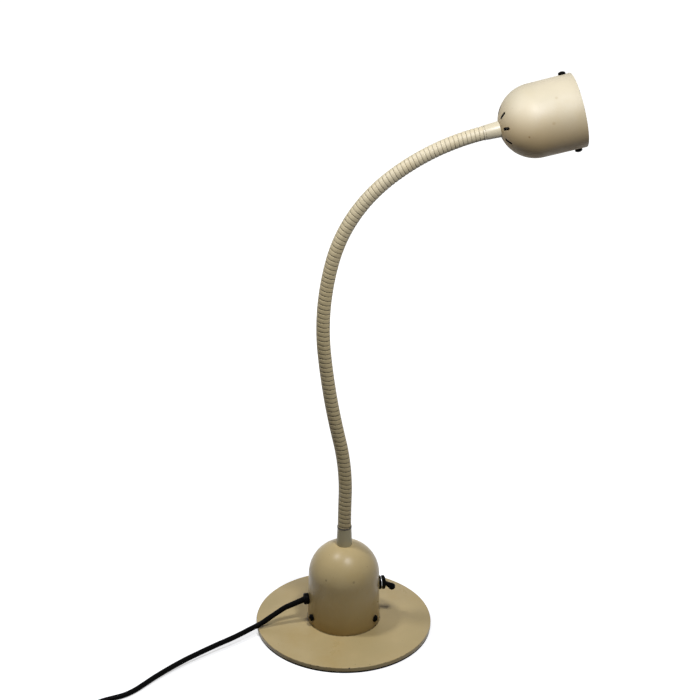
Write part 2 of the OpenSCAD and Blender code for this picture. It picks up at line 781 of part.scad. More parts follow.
module bulb_envelope(inset) {
    neck_from = bulb_contact + bulb_cap_l + inset;
    translate([0, 0, neck_from])
        cylinder(h = 12, r1 = bulb_cap_r + 3.6 - inset, r2 = bulb_cap_r + 8 - inset);
    translate([0, 0, bulb_tip - bulb_r]) sphere(r = bulb_r - inset);
}

module bulb_glass() {
    color("#f4f2ea") at_crown() difference() {
        bulb_envelope(0);
        bulb_envelope(bulb_wall);
    }
}

// spun dish: it widens along a curve from its rear opening to an upright lip
module reflector() {
    inner = [for (i = [0:reflector_steps])
        let (t = i / reflector_steps)
        [reflector_bore_r + (lip_r - reflector_t - reflector_bore_r) * pow(t, 0.8),
         reflector_back + (lip_back - reflector_back) * t]];
    outer = [for (i = [reflector_steps:-1:0]) inner[i] + [reflector_t, 0]];
    color("#e4e6e8") at_crown() difference() {
        rotate_extrude() polygon(concat(
            inner, [[lip_r - reflector_t, lip_front], [lip_r, lip_front]], outer
        ));
        for (a = shade_screw_angles) rotate(a) translate([lip_r - 6, 0, shade_screw_a])
            out_right() cylinder(h = 12, r = screw_r + fit_gap);
    }
}

module shade_screws() {
    color("#151515") at_crown() for (a = shade_screw_angles) rotate(a)
        translate([shade_r_at(shade_screw_a + screw_head_r) + fit_gap, 0, shade_screw_a])
            out_right() pan_screw(shade_r_at(shade_screw_a) - lip_r + 5.5);
}

module shade_screw_nuts() {
    flat_x = sqrt(pow(lip_r - reflector_t, 2) - pow(shade_nut_af / sqrt(3), 2)) - 0.1;
    color("#9ea1a5") at_crown() for (a = shade_screw_angles) rotate(a)
        translate([flat_x, 0, shade_screw_a]) rotate([0, -90, 0])
            hex_nut(shade_nut_af, screw_r + fit_gap, nut_h);
}

// ---- free cord ----

module power_cord() {
    color("#111111") swept_tube(cord_route, cord_r, cord_sides, [0, 0, 1]);
}

module cord_coil() {
    round_r = 2.5;
    color("#111111") translate([coil_centre[0], coil_centre[1], 0]) rotate_extrude() union() {
        translate([coil_in_r + round_r, 0])
            square([coil_out_r - coil_in_r - 2 * round_r, coil_h]);
        translate([coil_in_r, round_r]) square([coil_out_r - coil_in_r, coil_h - 2 * round_r]);
        for (r = [coil_in_r + round_r, coil_out_r - round_r])
            for (z = [round_r, coil_h - round_r]) translate([r, z]) circle(r = round_r);
    }
}

module cord_tail() {
    color("#111111") swept_tube(tail_route, cord_r, cord_sides, [0, 0, 1]);
}

module plug_body() {
    shoulder = plug_l * 0.6;
    color("#161616") translate([plug_at[0], plug_at[1], 0]) linear_extrude(plug_t) polygon([
        [0, -plug_neck_w / 2], [plug_l * 0.3, -plug_neck_w / 2 - 1.5], [shoulder, -plug_w / 2],
        [plug_l, -plug_w / 2], [plug_l, plug_w / 2], [shoulder, plug_w / 2],
        [plug_l * 0.3, plug_neck_w / 2 + 1.5], [0, plug_neck_w / 2]
    ]);
}

module plug_pins() {
    color("#c9a24a") for (side = [-1, 1])
        translate([plug_at[0] + plug_l, plug_at[1] + side * pin_pitch / 2, plug_t / 2])
            out_right() {
                cylinder(h = pin_l - pin_r, r = pin_r);
                translate([0, 0, pin_l - pin_r]) sphere(r = pin_r);
            }
}

base_plate();
base_pad();
housing_bracket();
bracket_screws();
bracket_nuts();
housing();
housing_screws();
cord_gland();
gland_nut();
terminal_block();
supply_lead();
switch_leads();
switch_body();
switch_bushing();
switch_backing_washer();
switch_lock_washer();
switch_nut();
toggle_lever();
lower_ferrule();
neck_base_nipple();
nipple_washer();
nipple_nut();
for (k = [1:link_count])
    neck_link(k);
neck_lead();
neck_end_fitting();
upper_ferrule();
shade();
shade_nut();
lampholder();
holder_contact();
bulb_cap();
bulb_glass();
reflector();
shade_screws();
shade_screw_nuts();
power_cord();
cord_coil();
cord_tail();
plug_body();
plug_pins();
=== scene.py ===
import math

import bmesh
import bpy
import numpy as np
from mathutils import Matrix, Vector


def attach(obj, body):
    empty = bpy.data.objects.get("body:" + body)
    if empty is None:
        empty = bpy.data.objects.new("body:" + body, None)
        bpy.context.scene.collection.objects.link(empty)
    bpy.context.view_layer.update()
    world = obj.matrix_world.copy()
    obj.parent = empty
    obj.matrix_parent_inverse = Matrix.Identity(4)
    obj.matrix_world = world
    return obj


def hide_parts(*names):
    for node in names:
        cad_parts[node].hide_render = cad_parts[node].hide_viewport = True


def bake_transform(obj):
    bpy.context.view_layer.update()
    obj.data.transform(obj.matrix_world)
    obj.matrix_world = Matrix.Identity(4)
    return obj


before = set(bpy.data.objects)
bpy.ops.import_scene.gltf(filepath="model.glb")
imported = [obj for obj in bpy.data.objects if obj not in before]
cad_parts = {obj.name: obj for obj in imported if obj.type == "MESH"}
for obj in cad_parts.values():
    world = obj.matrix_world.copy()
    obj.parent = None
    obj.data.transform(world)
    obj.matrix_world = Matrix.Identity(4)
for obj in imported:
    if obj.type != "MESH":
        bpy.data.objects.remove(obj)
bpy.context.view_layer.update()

scene = bpy.context.scene
scene.view_settings.view_transform = "Standard"
MM = 0.001


def srgb(*rgb):
    """Linear RGBA from 0-255 display values."""
    linear = [c / 255 / 12.92 if c / 255 <= 0.04045 else ((c / 255 + 0.055) / 1.055) ** 2.4 for c in rgb]
    return (*linear, 1.0)


# ---------------------------------------------------------------- camera, fitted to the photo

camera = bpy.data.objects.new("camera", bpy.data.cameras.new("camera"))
scene.collection.objects.link(camera)
camera.data.lens = 123.43
camera.data.sensor_width = 36
camera.data.clip_end = 50
right, up = Vector((0.98682, -0.16159, 0.00905)), Vector((0.06567, 0.45084, 0.89019))
ahead = Vector((0.14793, 0.87786, -0.45551))
turn = Matrix((right, up, -ahead)).transposed().to_4x4()
camera.matrix_world = Matrix.Translation((-0.38067, -2.28452, 1.53855)) @ turn
scene.camera = camera

# ---------------------------------------------------------------- values shared with the solids (mm)

PLATE_TOP, PAD_H, BASE_R, BASE_EDGE = 10.0, 2.0, 100.0, 5
LAND_R, BOLT_RING_R = 41.6, 31
CROWN_R, CROWN_BORE = 9.2, 5.2
HOUSING = dict(foot=41.0, dome=40.1, skirt=58.5, wall=1.2)
SHADE = dict(foot=40.0, dome=39.6, skirt=46.9, wall=1.0)
TAB_ANGLES, BOLT_ANGLES = (-160, -40, 80), (20, 140, 260)
SCREW_H, GLAND_H, SWITCH_H = 11, 28, 42  # above the top of the plate
SCREW_Z, GLAND_Z, SWITCH_Z = (PLATE_TOP + h for h in (SCREW_H, GLAND_H, SWITCH_H))
SCREW_HEAD_R, SCREW_HEAD_H, SCREW_HOLE_R = 4.0, 3.4, 2.15
GLAND_SEAT_R, GASKET_R = 6.2, 8
SEAT_GAP = 0.05  # between a curved wall and what sits on it
SHARP = 38.0  # edges that turn by more degrees than this are shaded sharp


def crown_rise(dome):
    """Height of a dome's flat crown above the dome's centre."""
    return math.sqrt(dome * dome - CROWN_R * CROWN_R)


def housing_r_at(h):
    """Outer radius of the housing h mm above the plate."""
    return HOUSING["foot"] + (HOUSING["dome"] - HOUSING["foot"]) * h / HOUSING["skirt"]


HOUSING_CROWN = PLATE_TOP + HOUSING["skirt"] + crown_rise(HOUSING["dome"])
SHADE_L = SHADE["skirt"] + crown_rise(SHADE["dome"])


def shade_r_at(a):
    """Outer radius of the shade's skirt a mm out from its crown."""
    return SHADE["foot"] - (SHADE["foot"] - SHADE["dome"]) * (SHADE_L - a) / SHADE["skirt"]


LINK, LINKS = 36.9, 15
BENDS = [1.5] + [-7.0] * 2 + [7 / 3] * 3 + [20 / 3] * 3 + [37.5 / 3] * 3 + [26.5 / 3] * 3
LOWER_FERRULE, UPPER_FERRULE = 21.7, 18.2
SHOULDER_DROP, CUP_EDGE = 2.6, 1.0


def leaned(v, lean):
    """Vector turned by lean degrees from the z axis towards +X."""
    c, s = math.cos(math.radians(lean)), math.sin(math.radians(lean))
    return Vector((v[0] * c + v[2] * s, v[1], v[2] * c - v[0] * s))


def arc_at(bend, along):
    """Point along mm up a link that starts upright and bends by bend degrees over its length."""
    radius = LINK * 180 / (math.pi * bend)
    turned = math.radians(bend * along / LINK)
    return Vector((radius * (1 - math.cos(turned)), 0, radius * math.sin(turned)))


HINGES, LEANS = [Vector((0, 0, HOUSING_CROWN + LOWER_FERRULE + SHOULDER_DROP))], [0.0]
for bend in BENDS:
    HINGES.append(HINGES[-1] + leaned(arc_at(bend, LINK), LEANS[-1]))
    LEANS.append(LEANS[-1] + bend)
CROWN_FROM_HINGE = UPPER_FERRULE - CUP_EDGE
BODIES = ["base"] + [f"link_{k:02d}" for k in range(1, LINKS + 1)] + ["head"]


def on_neck(s):
    """Point and lean of the neck's centreline, s mm along it from its first hinge."""
    k = int(s // LINK)
    if s < 0:
        return HINGES[0] + Vector((0, 0, s)), 0.0
    if k >= LINKS:
        return HINGES[LINKS] + leaned((0, 0, s - LINKS * LINK), LEANS[LINKS]), LEANS[LINKS]
    along = s - k * LINK
    return HINGES[k] + leaned(arc_at(BENDS[k], along), LEANS[k]), LEANS[k] + BENDS[k] * along / LINK


def at(x=0, y=0, z=0, lean=0.0, turned=0.0):
    """Place in mm whose z axis leans towards +X and which is then turned about the upright axis."""
    return (Matrix.Rotation(math.radians(turned), 4, "Z") @ Matrix.Translation((x, y, z))
            @ Matrix.Rotation(math.radians(lean), 4, "Y"))


def at_crown(a=0.0):
    """Place on the shade's axis, a mm out from its crown, with z along the axis."""
    return (Matrix.Translation(HINGES[LINKS]) @ Matrix.Rotation(math.radians(LEANS[LINKS]), 4, "Y")
            @ Matrix.Translation((0, 0, CROWN_FROM_HINGE + a)))


# ---------------------------------------------------------------- free cord

CORD_R = 3.0
GLAND_TILT, GLAND_DROP, GLAND_HEAD_L = 22.0, 1.0, 5.8
GLAND_SEAT = housing_r_at(GLAND_H - GLAND_SEAT_R) + SEAT_GAP
GLAND_FACE = GLAND_SEAT + GLAND_HEAD_L
CORD_EXIT = (-GLAND_FACE, 0, GLAND_Z - GLAND_DROP)
GLAND_KNEE = (-(GLAND_FACE - GLAND_DROP / math.tan(math.radians(GLAND_TILT))), 0, GLAND_Z)
ROUTE = [
    CORD_EXIT, (-56, 0, 33.16), (-67, 0, 28.7), (-76, -1.2, 23.8), (-86, -2.6, 18),
    (-93.5, -4, 13.6), (-101, -6, 10.8), (-110, -11, 10), (-122, -18.4, 9.3),
    (-134, -25.2, 8.7), (-147, -31.8, 8.1), (-160, -38.8, 7.5), (-173, -46, 6.8),
    (-186, -53.6, 6.2), (-199, -62, 5.5), (-212, -71.2, 4.8), (-225, -81.2, 4.2),
    (-237, -91.4, 3.6), (-249, -101.2, 3.1), (-261, -108.4, 3.1), (-274, -112.4, 3.1),
    (-286, -116.2, 3.1), (-296.4, -122.6, 3.1), (-304.4, -132.8, 3.1), (-308.8, -145.6, 3.1),
    (-310, -160, 3.1), (-310, -182, 3.1),
]
COIL_CENTRE, COIL_RINGS, COIL_Z = (-268, -184), (42.0, 36.0, 30.0, 24.0), (3.1, 9.2)
TAIL = [
    (-266, -226.2, 9.2), (-255, -226.4, 8.8), (-244, -226.1, 7.8), (-233, -225.2, 7),
    (-222, -224.2, 6.9), (-211.1, -224, 6.9),
]
PLUG_AT = (-211, -224)


def smooth(t):
    t = min(max(t, 0.0), 1.0)
    return t * t * (3 - 2 * t)


def coil_points():
    """Turns that wind inwards on the table and back outwards on top of themselves."""
    points = []
    step = 9
    shift = 150  # degrees of a turn it takes to move to the next ring
    inner = len(COIL_RINGS) - 1
    gap = COIL_RINGS[0] - COIL_RINGS[1]
    top_from = 180 + 360 * inner + 210
    for angle in range(180 + step, 270 + 360 * (2 * inner + 1) + 1, step):
        if angle <= top_from:
            turns, part = divmod(angle - 180, 360)
            r = COIL_RINGS[0] - gap * min(turns + smooth((part - 360 + shift) / shift), inner)
            z = COIL_Z[0] + (COIL_Z[1] - COIL_Z[0]) * smooth((angle - top_from + 90) / 90)
        else:
            turns, part = divmod(angle - top_from, 360)
            r = COIL_RINGS[-1] + gap * min(turns + smooth((part - 360 + shift) / shift), inner)
            z = COIL_Z[1]
        points.append((COIL_CENTRE[0] + r * math.cos(math.radians(angle)),
                       COIL_CENTRE[1] + r * math.sin(math.radians(angle)), z))
    return points


def eased(points):
    """Catmull-Rom line through the points, with a point about every 3 mm."""
    p = [np.array(q, float) for q in points]
    p = [2 * p[0] - p[1]] + p + [2 * p[-1] - p[-2]]
    line = []
    for a, b, c, d in zip(p, p[1:], p[2:], p[3:]):
        n = max(1, round(np.linalg.norm(c - b) / 3))
        for i in range(n):
            t = i / n
            line.append(0.5 * (2 * b + (c - a) * t + (2 * a - 5 * b + 4 * c - d) * t * t
                               + (3 * b - a - 3 * c + d) * t ** 3))
    line.append(p[-2])
    return line


cord_line = eased(ROUTE + coil_points() + TAIL)
cord_curve = bpy.data.curves.new("power_cord_line", "CURVE")
cord_curve.dimensions = "3D"
spline = cord_curve.splines.new("POLY")
spline.points.add(len(cord_line) - 1)
spline.points.foreach_set("co", [c for p in cord_line for c in (*(p * MM), 1.0)])
cord_curve.bevel_depth = CORD_R * MM
cord_curve.bevel_resolution = 4
cord_curve.use_fill_caps = True
cord_piece = bpy.data.objects.new("mains_cord", cord_curve)
scene.collection.objects.link(cord_piece)

# ---------------------------------------------------------------- materials


class Tree:
    """Adds and links the nodes of a material or of the world."""

    def __init__(self, owner):
        owner.use_nodes = True
        self.nodes, self.links = owner.node_tree.nodes, owner.node_tree.links

    def add(self, kind, **props):
        node = self.nodes.new(kind)
        for key, value in props.items():
            setattr(node, key, value)
        return node

    def put(self, socket, value):
        if isinstance(value, bpy.types.NodeSocket):
            self.links.new(value, socket)
        else:
            socket.default_value = value

    def span(self, value, low, high, to_low=0.0, to_high=1.0, shape="SMOOTHSTEP"):
        """Goes from to_low at low to to_high at high."""
        node = self.add("ShaderNodeMapRange", interpolation_type=shape)
        self.put(node.inputs["Value"], value)
        for key, number in (("From Min", low), ("From Max", high), ("To Min", to_low), ("To Max", to_high)):
            node.inputs[key].default_value = number
        return node.outputs["Result"]

    def maths(self, operation, a, b=0.5):
        node = self.add("ShaderNodeMath", operation=operation)
        self.put(node.inputs[0], a)
        self.put(node.inputs[1], b)
        return node.outputs[0]

    def mix(self, amount, a, b):
        node = self.add("ShaderNodeMix", data_type="RGBA")
        self.put(node.inputs["Factor"], amount)
        self.put(node.inputs["A"], a)
        self.put(node.inputs["B"], b)
        return node.outputs["Result"]

    def seen_directly(self):
        """1 for rays of the camera, of reflections and through glass, 0 for scattered light."""
        path = self.add("ShaderNodeLightPath").outputs
        either = self.maths("MAXIMUM", path["Is Camera Ray"], path["Is Glossy Ray"])
        return self.maths("MAXIMUM", either, path["Is Transmission Ray"])


class Surface(Tree):
    """One material around a Principled shader."""

    def __init__(self, name, attribute=None):
        self.mat = bpy.data.materials.new(name)
        super().__init__(self.mat)
        self.bsdf = self.nodes["Principled BSDF"]
        if attribute:
            self.coords = self.add("ShaderNodeAttribute", attribute_name=attribute).outputs["Vector"]
        else:
            self.coords = self.add("ShaderNodeTexCoord").outputs["Object"]

    def noise(self, scale, detail, rough):
        node = self.add("ShaderNodeTexNoise")
        self.put(node.inputs["Vector"], self.coords)
        node.inputs["Scale"].default_value = scale
        node.inputs["Detail"].default_value = detail
        node.inputs["Roughness"].default_value = rough
        return node.outputs["Fac"]

    def ramp(self, value, *stops):
        node = self.add("ShaderNodeValToRGB")
        self.put(node.inputs["Fac"], value)
        elements = node.color_ramp.elements
        for element, (place, colour) in zip(elements, (stops[0], stops[-1])):
            element.position, element.color = place, colour
        for place, colour in stops[1:-1]:
            elements.new(place).color = colour
        return node.outputs["Color"]

    def value_of(self, attribute):
        return self.add("ShaderNodeAttribute", attribute_name=attribute).outputs["Fac"]

    def height(self):
        """Height of the point in m, or its way along the neck where the coordinates are those at rest."""
        node = self.add("ShaderNodeSeparateXYZ")
        self.put(node.inputs[0], self.coords)
        return node.outputs["Z"]

    def near(self, point, inner, outer):
        """1 within inner mm of a point, 0 past outer mm."""
        node = self.add("ShaderNodeVectorMath", operation="DISTANCE")
        self.put(node.inputs[0], self.coords)
        node.inputs[1].default_value = [c * MM for c in point]
        return self.span(node.outputs["Value"], inner * MM, outer * MM, 1.0, 0.0)

    def ring(self, radius, reach):
        """1 at a distance of radius mm from the lamp's upright axis, 0 reach mm further out or in."""
        flat = self.add("ShaderNodeVectorMath", operation="MULTIPLY")
        self.put(flat.inputs[0], self.coords)
        flat.inputs[1].default_value = (1, 1, 0)
        length = self.add("ShaderNodeVectorMath", operation="LENGTH")
        self.put(length.inputs[0], flat.outputs["Vector"])
        off = self.maths("ABSOLUTE", self.maths("SUBTRACT", length.outputs["Value"], radius * MM))
        return self.span(off, 0.0, reach * MM, 1.0, 0.0)

    def finish(self, colour, rough, bump, bump_mm, **sockets):
        self.put(self.bsdf.inputs["Base Color"], colour)
        self.put(self.bsdf.inputs["Roughness"], rough)
        node = self.add("ShaderNodeBump")
        node.inputs["Strength"].default_value = 1.0
        node.inputs["Distance"].default_value = bump_mm * MM
        self.put(node.inputs["Height"], bump)
        self.put(self.bsdf.inputs["Normal"], node.outputs["Normal"])
        for key, value in sockets.items():
            self.bsdf.inputs[key.replace("_", " ")].default_value = value
        return self.mat


def paint(name, base, attribute=None, marks=(), joint=None, foot=None, band=None, grooved=False,
          rough=(0.27, 0.38), gloss=0.29):
    """Old baked enamel: mottled, a little orange peel, specks, rubbed edges and painted shade where asked.

    marks: spots (point, radius, strength, tint). joint: painted shadow in a ring around the lamp's axis (radius,
    reach, strength). foot: painted light and shade, a tint that fades out upwards (low, high, tint). band: height
    above which a lip is dark. All in mm.
    """
    n = Surface(name, attribute)
    lighter = srgb(*[min(255, c * 1.03) for c in base])
    warmer = srgb(base[0] * 0.985, base[1] * 0.97, base[2] * 0.93)
    greyer = srgb(base[0] * 0.96, base[1] * 0.965, base[2] * 0.96)
    cloud = n.noise(22, 5, 0.6)
    colour = n.ramp(cloud, (0.32, warmer), (0.5, srgb(*base)), (0.68, lighter))
    colour = n.mix(n.span(n.noise(9, 3, 0.5), 0.48, 0.72), colour, greyer)
    grain = n.noise(420, 3, 0.6)
    colour = n.mix(n.span(grain, 0.62, 0.8, 0, 0.25), colour, warmer)
    dots = n.span(n.noise(900, 1, 0.4), 0.76, 0.8, 0, 0.7)
    where = n.span(n.noise(60, 2, 0.5), 0.5, 0.62)
    colour = n.mix(n.maths("MULTIPLY", dots, where), colour, srgb(70, 58, 40))
    # rubbed edges, and painted shadow along the housing's foot where it stands on the plate
    rubbed_and_shadow = n.span(n.maths("MULTIPLY", n.value_of("edge"), n.noise(260, 4, 0.7)), 0.5, 0.62, 0, 0.8)
    colour = n.mix(rubbed_and_shadow, colour, srgb(70, 60, 44))
    for point, radius, strength, tint in marks:
        ragged = n.span(n.noise(700, 3, 0.6), 0.3, 0.6, 0.35, strength)
        colour = n.mix(n.maths("MULTIPLY", n.near(point, radius * 0.3, radius), ragged), colour, srgb(*tint))
    # painted shadow in a ring on the plate, where the housing stands on it
    if joint:
        radius, reach, strength = joint
        patchy = n.span(n.noise(300, 3, 0.6), 0.25, 0.7, 0.4 * strength, strength)
        colour = n.mix(n.maths("MULTIPLY", n.ring(radius, reach), patchy), colour, srgb(58, 46, 28))
    # a tint that fades out upwards: painted shade low on the housing and the shade, painted light and shade along the
    # neck
    if foot:
        low, high, tint = foot
        colour = n.mix(n.span(n.height(), low * MM, high * MM, 0.8, 0.0), colour, srgb(*tint))
    if band:
        inside = n.span(n.height(), (band - 0.2) * MM, (band + 0.2) * MM)
        patchy = n.span(n.noise(500, 3, 0.6), 0.2, 0.6, 0.75, 1.0)
        colour = n.mix(n.maths("MULTIPLY", inside, patchy), colour, srgb(34, 27, 18))
    # painted shade in the neck's grooves, weaker towards the head where more light falls
    if grooved:
        fading = n.span(n.height(), 200 * MM, 460 * MM, 1.0, 0.4)
        dark = n.maths("MULTIPLY", n.span(n.value_of("groove"), 0.1, 0.9), fading)
        colour = n.mix(dark, colour, srgb(34, 26, 15))
    roughness = n.span(n.noise(35, 4, 0.6), 0.3, 0.7, *rough)
    peel = n.maths("ADD", n.maths("MULTIPLY", n.noise(260, 2, 0.5), 0.7), n.maths("MULTIPLY", grain, 0.3))
    return n.finish(colour, roughness, peel, 0.03, Specular_IOR_Level=gloss)


def plain(name, low, mid, high, scale, rough, grain, bump_mm, metal=0.0, **sockets):
    """Moulded, rolled or turned surface: three close tones, a grain and uneven gloss."""
    n = Surface(name)
    colour = n.ramp(n.noise(scale, 4, 0.6), (0.3, srgb(*low)), (0.5, srgb(*mid)), (0.7, srgb(*high)))
    fine = n.noise(grain, 3, 0.6)
    uneven = n.span(n.noise(scale * 1.7, 3, 0.6), 0.3, 0.7, *rough)
    roughness = n.maths("ADD", uneven, n.maths("MULTIPLY", fine, 0.06))
    return n.finish(colour, roughness, fine, bump_mm, Metallic=metal, **sockets)


def black(name, *look, level=0.03):
    """Black surface, with the dull reflection that the photo's black parts have."""
    return plain(name, *look, Specular_IOR_Level=level)


def metal(name, *look):
    """Bare metal."""
    return plain(name, *look, metal=1.0)


CREAM = (195, 174, 125)
# the dark ring at r = 41.2 mm is painted shadow where the housing stands on the plate
base_paint = paint("base_enamel", CREAM, joint=(41.2, 1.6, 0.9), marks=[
    ((-9.5, -99.5, 6.4), 1.4, 1.0, (40, 33, 22)), ((-51, -86, 5.6), 1.6, 0.7, (84, 70, 46)),
    ((14.3, -96.1, 7.0), 1.1, 0.6, (92, 78, 52)), ((-2, -94, 7.4), 0.9, 0.5, (104, 88, 60)),
])
# below 56 mm the housing goes browner and darker: painted shade near the plate
housing_paint = paint("housing_enamel", CREAM, foot=(12, 56, (166, 142, 92)), marks=[
    ((-25.1, -29.2, 79.1), 1.9, 0.5, (112, 95, 65)), ((4.9, -38.2, 79.3), 2.2, 0.45, (122, 104, 72)),
])
# painted light along the neck: warmer and a little brighter low down, paler and greyer towards the head as painted
# sheen
neck_paint = paint("neck_enamel", (181, 170, 142), foot=(230, 480, (196, 178, 132)), attribute="rest",
                   grooved=True, rough=(0.44, 0.56), gloss=0.45)
ferrule_paint = paint("ferrule_enamel", (182, 172, 147), rough=(0.38, 0.48), gloss=0.5)
lower_ferrule_paint = paint("lower_ferrule_enamel", (186, 177, 143), band=HOUSING_CROWN + LOWER_FERRULE + 0.25,
                            rough=(0.38, 0.48), gloss=0.4)
# the shade's cream is paler and greyer than the housing's as painted sheen of its lit top, and below 645 mm it goes
# browner and darker as painted shade
shade_paint = paint("shade_enamel", (177, 167, 143), foot=(590, 645, (148, 123, 78)), rough=(0.5, 0.62), gloss=0.48,
                    marks=[((213.6, -25.6, 643.1), 2.2, 0.4, (146, 130, 102)),
                           ((208.9, -38.6, 620.2), 2.6, 0.4, (134, 116, 84)),
                           ((184.1, -36.6, 605.6), 1.7, 0.95, (52, 42, 28))])
pad_foam = black("pad_foam", (4, 4, 4), (7, 7, 6), (11, 11, 10), 90, (0.8, 0.95), 1500, 0.08)
black_steel = black("black_steel", (2, 2, 2), (4, 4, 3), (7, 6, 6), 160, (0.3, 0.44), 1400, 0.012, level=0.025)
black_plastic = black("black_plastic", (2, 2, 2), (4, 4, 4), (8, 7, 7), 110, (0.32, 0.46), 1300, 0.02)
cord_pvc = black("cord_pvc", (2, 2, 2), (4, 4, 4), (8, 8, 7), 70, (0.34, 0.5), 1100, 0.03)
# the shade's inner face and the walls of its vents, painted dark as shade
shade_inside_painted_dark = black("shade_inside_painted_dark", (20, 18, 15), (26, 23, 19), (34, 31, 26), 60, (0.6, 0.75), 500, 0.03, level=0.1)
zinc = metal("zinc_steel", (150, 152, 154), (172, 174, 175), (190, 191, 188), 45, (0.28, 0.42), 900, 0.01)
bright = metal("bright_washer", (140, 141, 142), (158, 159, 159), (172, 172, 170), 120, (0.22, 0.34), 1500, 0.006)
brass = metal("brass", (176, 140, 72), (196, 158, 84), (208, 173, 100), 90, (0.25, 0.4), 900, 0.01)
cap_metal = metal("bulb_cap_metal", (176, 176, 172), (196, 196, 192), (208, 208, 203), 80, (0.25, 0.38), 1000, 0.01)
spun = metal("spun_aluminium", (196, 197, 198), (214, 215, 216), (226, 227, 227), 30, (0.26, 0.38), 800, 0.012)
lead_pvc = plain("lead_pvc", (205, 202, 192), (218, 215, 206), (228, 226, 219), 70, (0.4, 0.5), 900, 0.02)
lead_blue = plain("switch_lead_pvc", (46, 74, 128), (56, 88, 148), (70, 102, 160), 80, (0.4, 0.5), 900, 0.02)
ceramic = plain("block_ceramic", (214, 210, 200), (226, 222, 213), (234, 231, 223), 50, (0.25, 0.4), 500, 0.03)
opal = plain("bulb_opal", (236, 234, 226), (242, 240, 233), (246, 245, 240), 30, (0.16, 0.24), 300, 0.004,
             Subsurface_Weight=0.25, Subsurface_Scale=0.01)

CARRIED = {
    "base_pad": pad_foam, "housing_bracket": zinc, "bracket_screws": zinc, "bracket_nuts": zinc,
    "gland_nut": black_plastic, "terminal_block": ceramic, "supply_lead": cord_pvc, "switch_leads": lead_blue,
    "switch_body": black_plastic, "neck_base_nipple": zinc, "nipple_washer": zinc, "nipple_nut": zinc,
    "neck_end_fitting": zinc, "shade_nut": zinc, "holder_contact": brass, "shade_screw_nuts": zinc,
}
for node, mat in CARRIED.items():
    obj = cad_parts[node]
    if not obj.material_slots:
        obj.data.materials.append(mat)
    for place in obj.material_slots:
        place.material = mat

# ---------------------------------------------------------------- mesh helpers


def piece(name, verts, faces, mat, body, slot, replaces=(), place=None, values=None, sharp=SHARP):
    """Mesh object from points in mm, moved by place, riding on a body."""
    co = np.asarray(verts, float)
    if place is not None:
        m = np.array(place)
        co = co @ m[:3, :3].T + m[:3, 3]
    mesh = bpy.data.meshes.new(name)
    mesh.from_pydata((co * MM).tolist(), [], faces)
    for key, numbers in (values or {}).items():
        layer = mesh.attributes.new(key, "FLOAT", "POINT")
        layer.data.foreach_set("value", np.asarray(numbers, np.float32))
    mesh.materials.append(mat)
    tidy(mesh, sharp)
    obj = bpy.data.objects.new(name, mesh)
    scene.collection.objects.link(obj)
    if body:
        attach(obj, body)
    if replaces:
        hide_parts(*replaces)
    return obj


def tidy(mesh, sharp):
    """Joins points that coincide, turns the faces outwards and shades them."""
    bm = bmesh.new()
    bm.from_mesh(mesh)
    bmesh.ops.remove_doubles(bm, verts=bm.verts, dist=1e-7)
    bmesh.ops.recalc_face_normals(bm, faces=bm.faces)
    bm.to_mesh(mesh)
    bm.free()
    mesh.shade_smooth()
    mesh.set_sharp_from_angle(angle=math.radians(sharp))


def rounded(points, closed=True, steps=4):
    """Outline whose corners (r, z, radius) are rounded."""
    out = []
    n = len(points)
    for i, corner in enumerate(points):
        here = np.array(corner[:2], float)
        radius = corner[2] if len(corner) > 2 else 0
        if not radius or (not closed and i in (0, n - 1)):
            out.append(tuple(here))
            continue
        before, after = (np.array(points[(i + d) % n][:2], float) - here for d in (-1, 1))
        la, lb = np.linalg.norm(before), np.linalg.norm(after)
        angle = math.acos(max(-1, min(1, float(before @ after) / (la * lb))))
        reach = min(radius / math.tan(angle / 2), 0.49 * la, 0.49 * lb)
        a, b = here + before / la * reach, here + after / lb * reach
        for j in range(steps + 1):
            t = j / steps
            out.append(tuple((1 - t) ** 2 * a + 2 * t * (1 - t) * here + t * t * b))
    return out


def revolved(outline, count, closed=True):
    """Points and faces of an outline (r, z) turned about z; outline may be a function of the angle."""
    shape = outline if callable(outline) else (lambda angle: outline)
    first = shape(0.0)
    verts, faces, index = [], [], []
    pole = [abs(p[0]) < 1e-6 for p in first]
    poles = {}
    for j in range(count):
        angle = 2 * math.pi * j / count
        row = []
        for i, (r, z) in enumerate(shape(angle)):
            if pole[i]:
                if i not in poles:
                    poles[i] = len(verts)
                    verts.append((0, 0, z))
                row.append(poles[i])
            else:
                row.append(len(verts))
                verts.append((r * math.cos(angle), r * math.sin(angle), z))
        index.append(row)
    n = len(first)
    for j in range(count):
        a, b = index[j], index[(j + 1) % count]
        for i in range(n if closed else n - 1):
            k = (i + 1) % n
            face = [a[i], b[i], b[k], a[k]]
            if pole[i] and pole[k]:
                continue
            if pole[i]:
                face = [a[i], b[k], a[k]]
            elif pole[k]:
                face = [a[i], b[i], a[k]]
            faces.append(face)
    return verts, faces


def lathe(name, outline, mat, body, slot, place, replaces, count, edge=None, sharp=SHARP):
    """Turned piece. edge gives, for a point's r and z, how much its edge is darkened: rubbed, and painted shadow at
    the housing's foot.
    """
    verts, faces = revolved(outline, count)
    values = {"edge": [edge(math.hypot(v[0], v[1]), v[2]) for v in verts]} if edge else None
    return piece(name, verts, faces, mat, body, slot, replaces, place, values, sharp)


def merged(parts):
    """One mesh from several (verts, faces, place)."""
    verts, faces = [], []
    for v, f, place in parts:
        m = np.array(place)
        offset = len(verts)
        verts += (np.asarray(v, float) @ m[:3, :3].T + m[:3, 3]).tolist()
        faces += [[i + offset for i in face] for face in f]
    return verts, faces


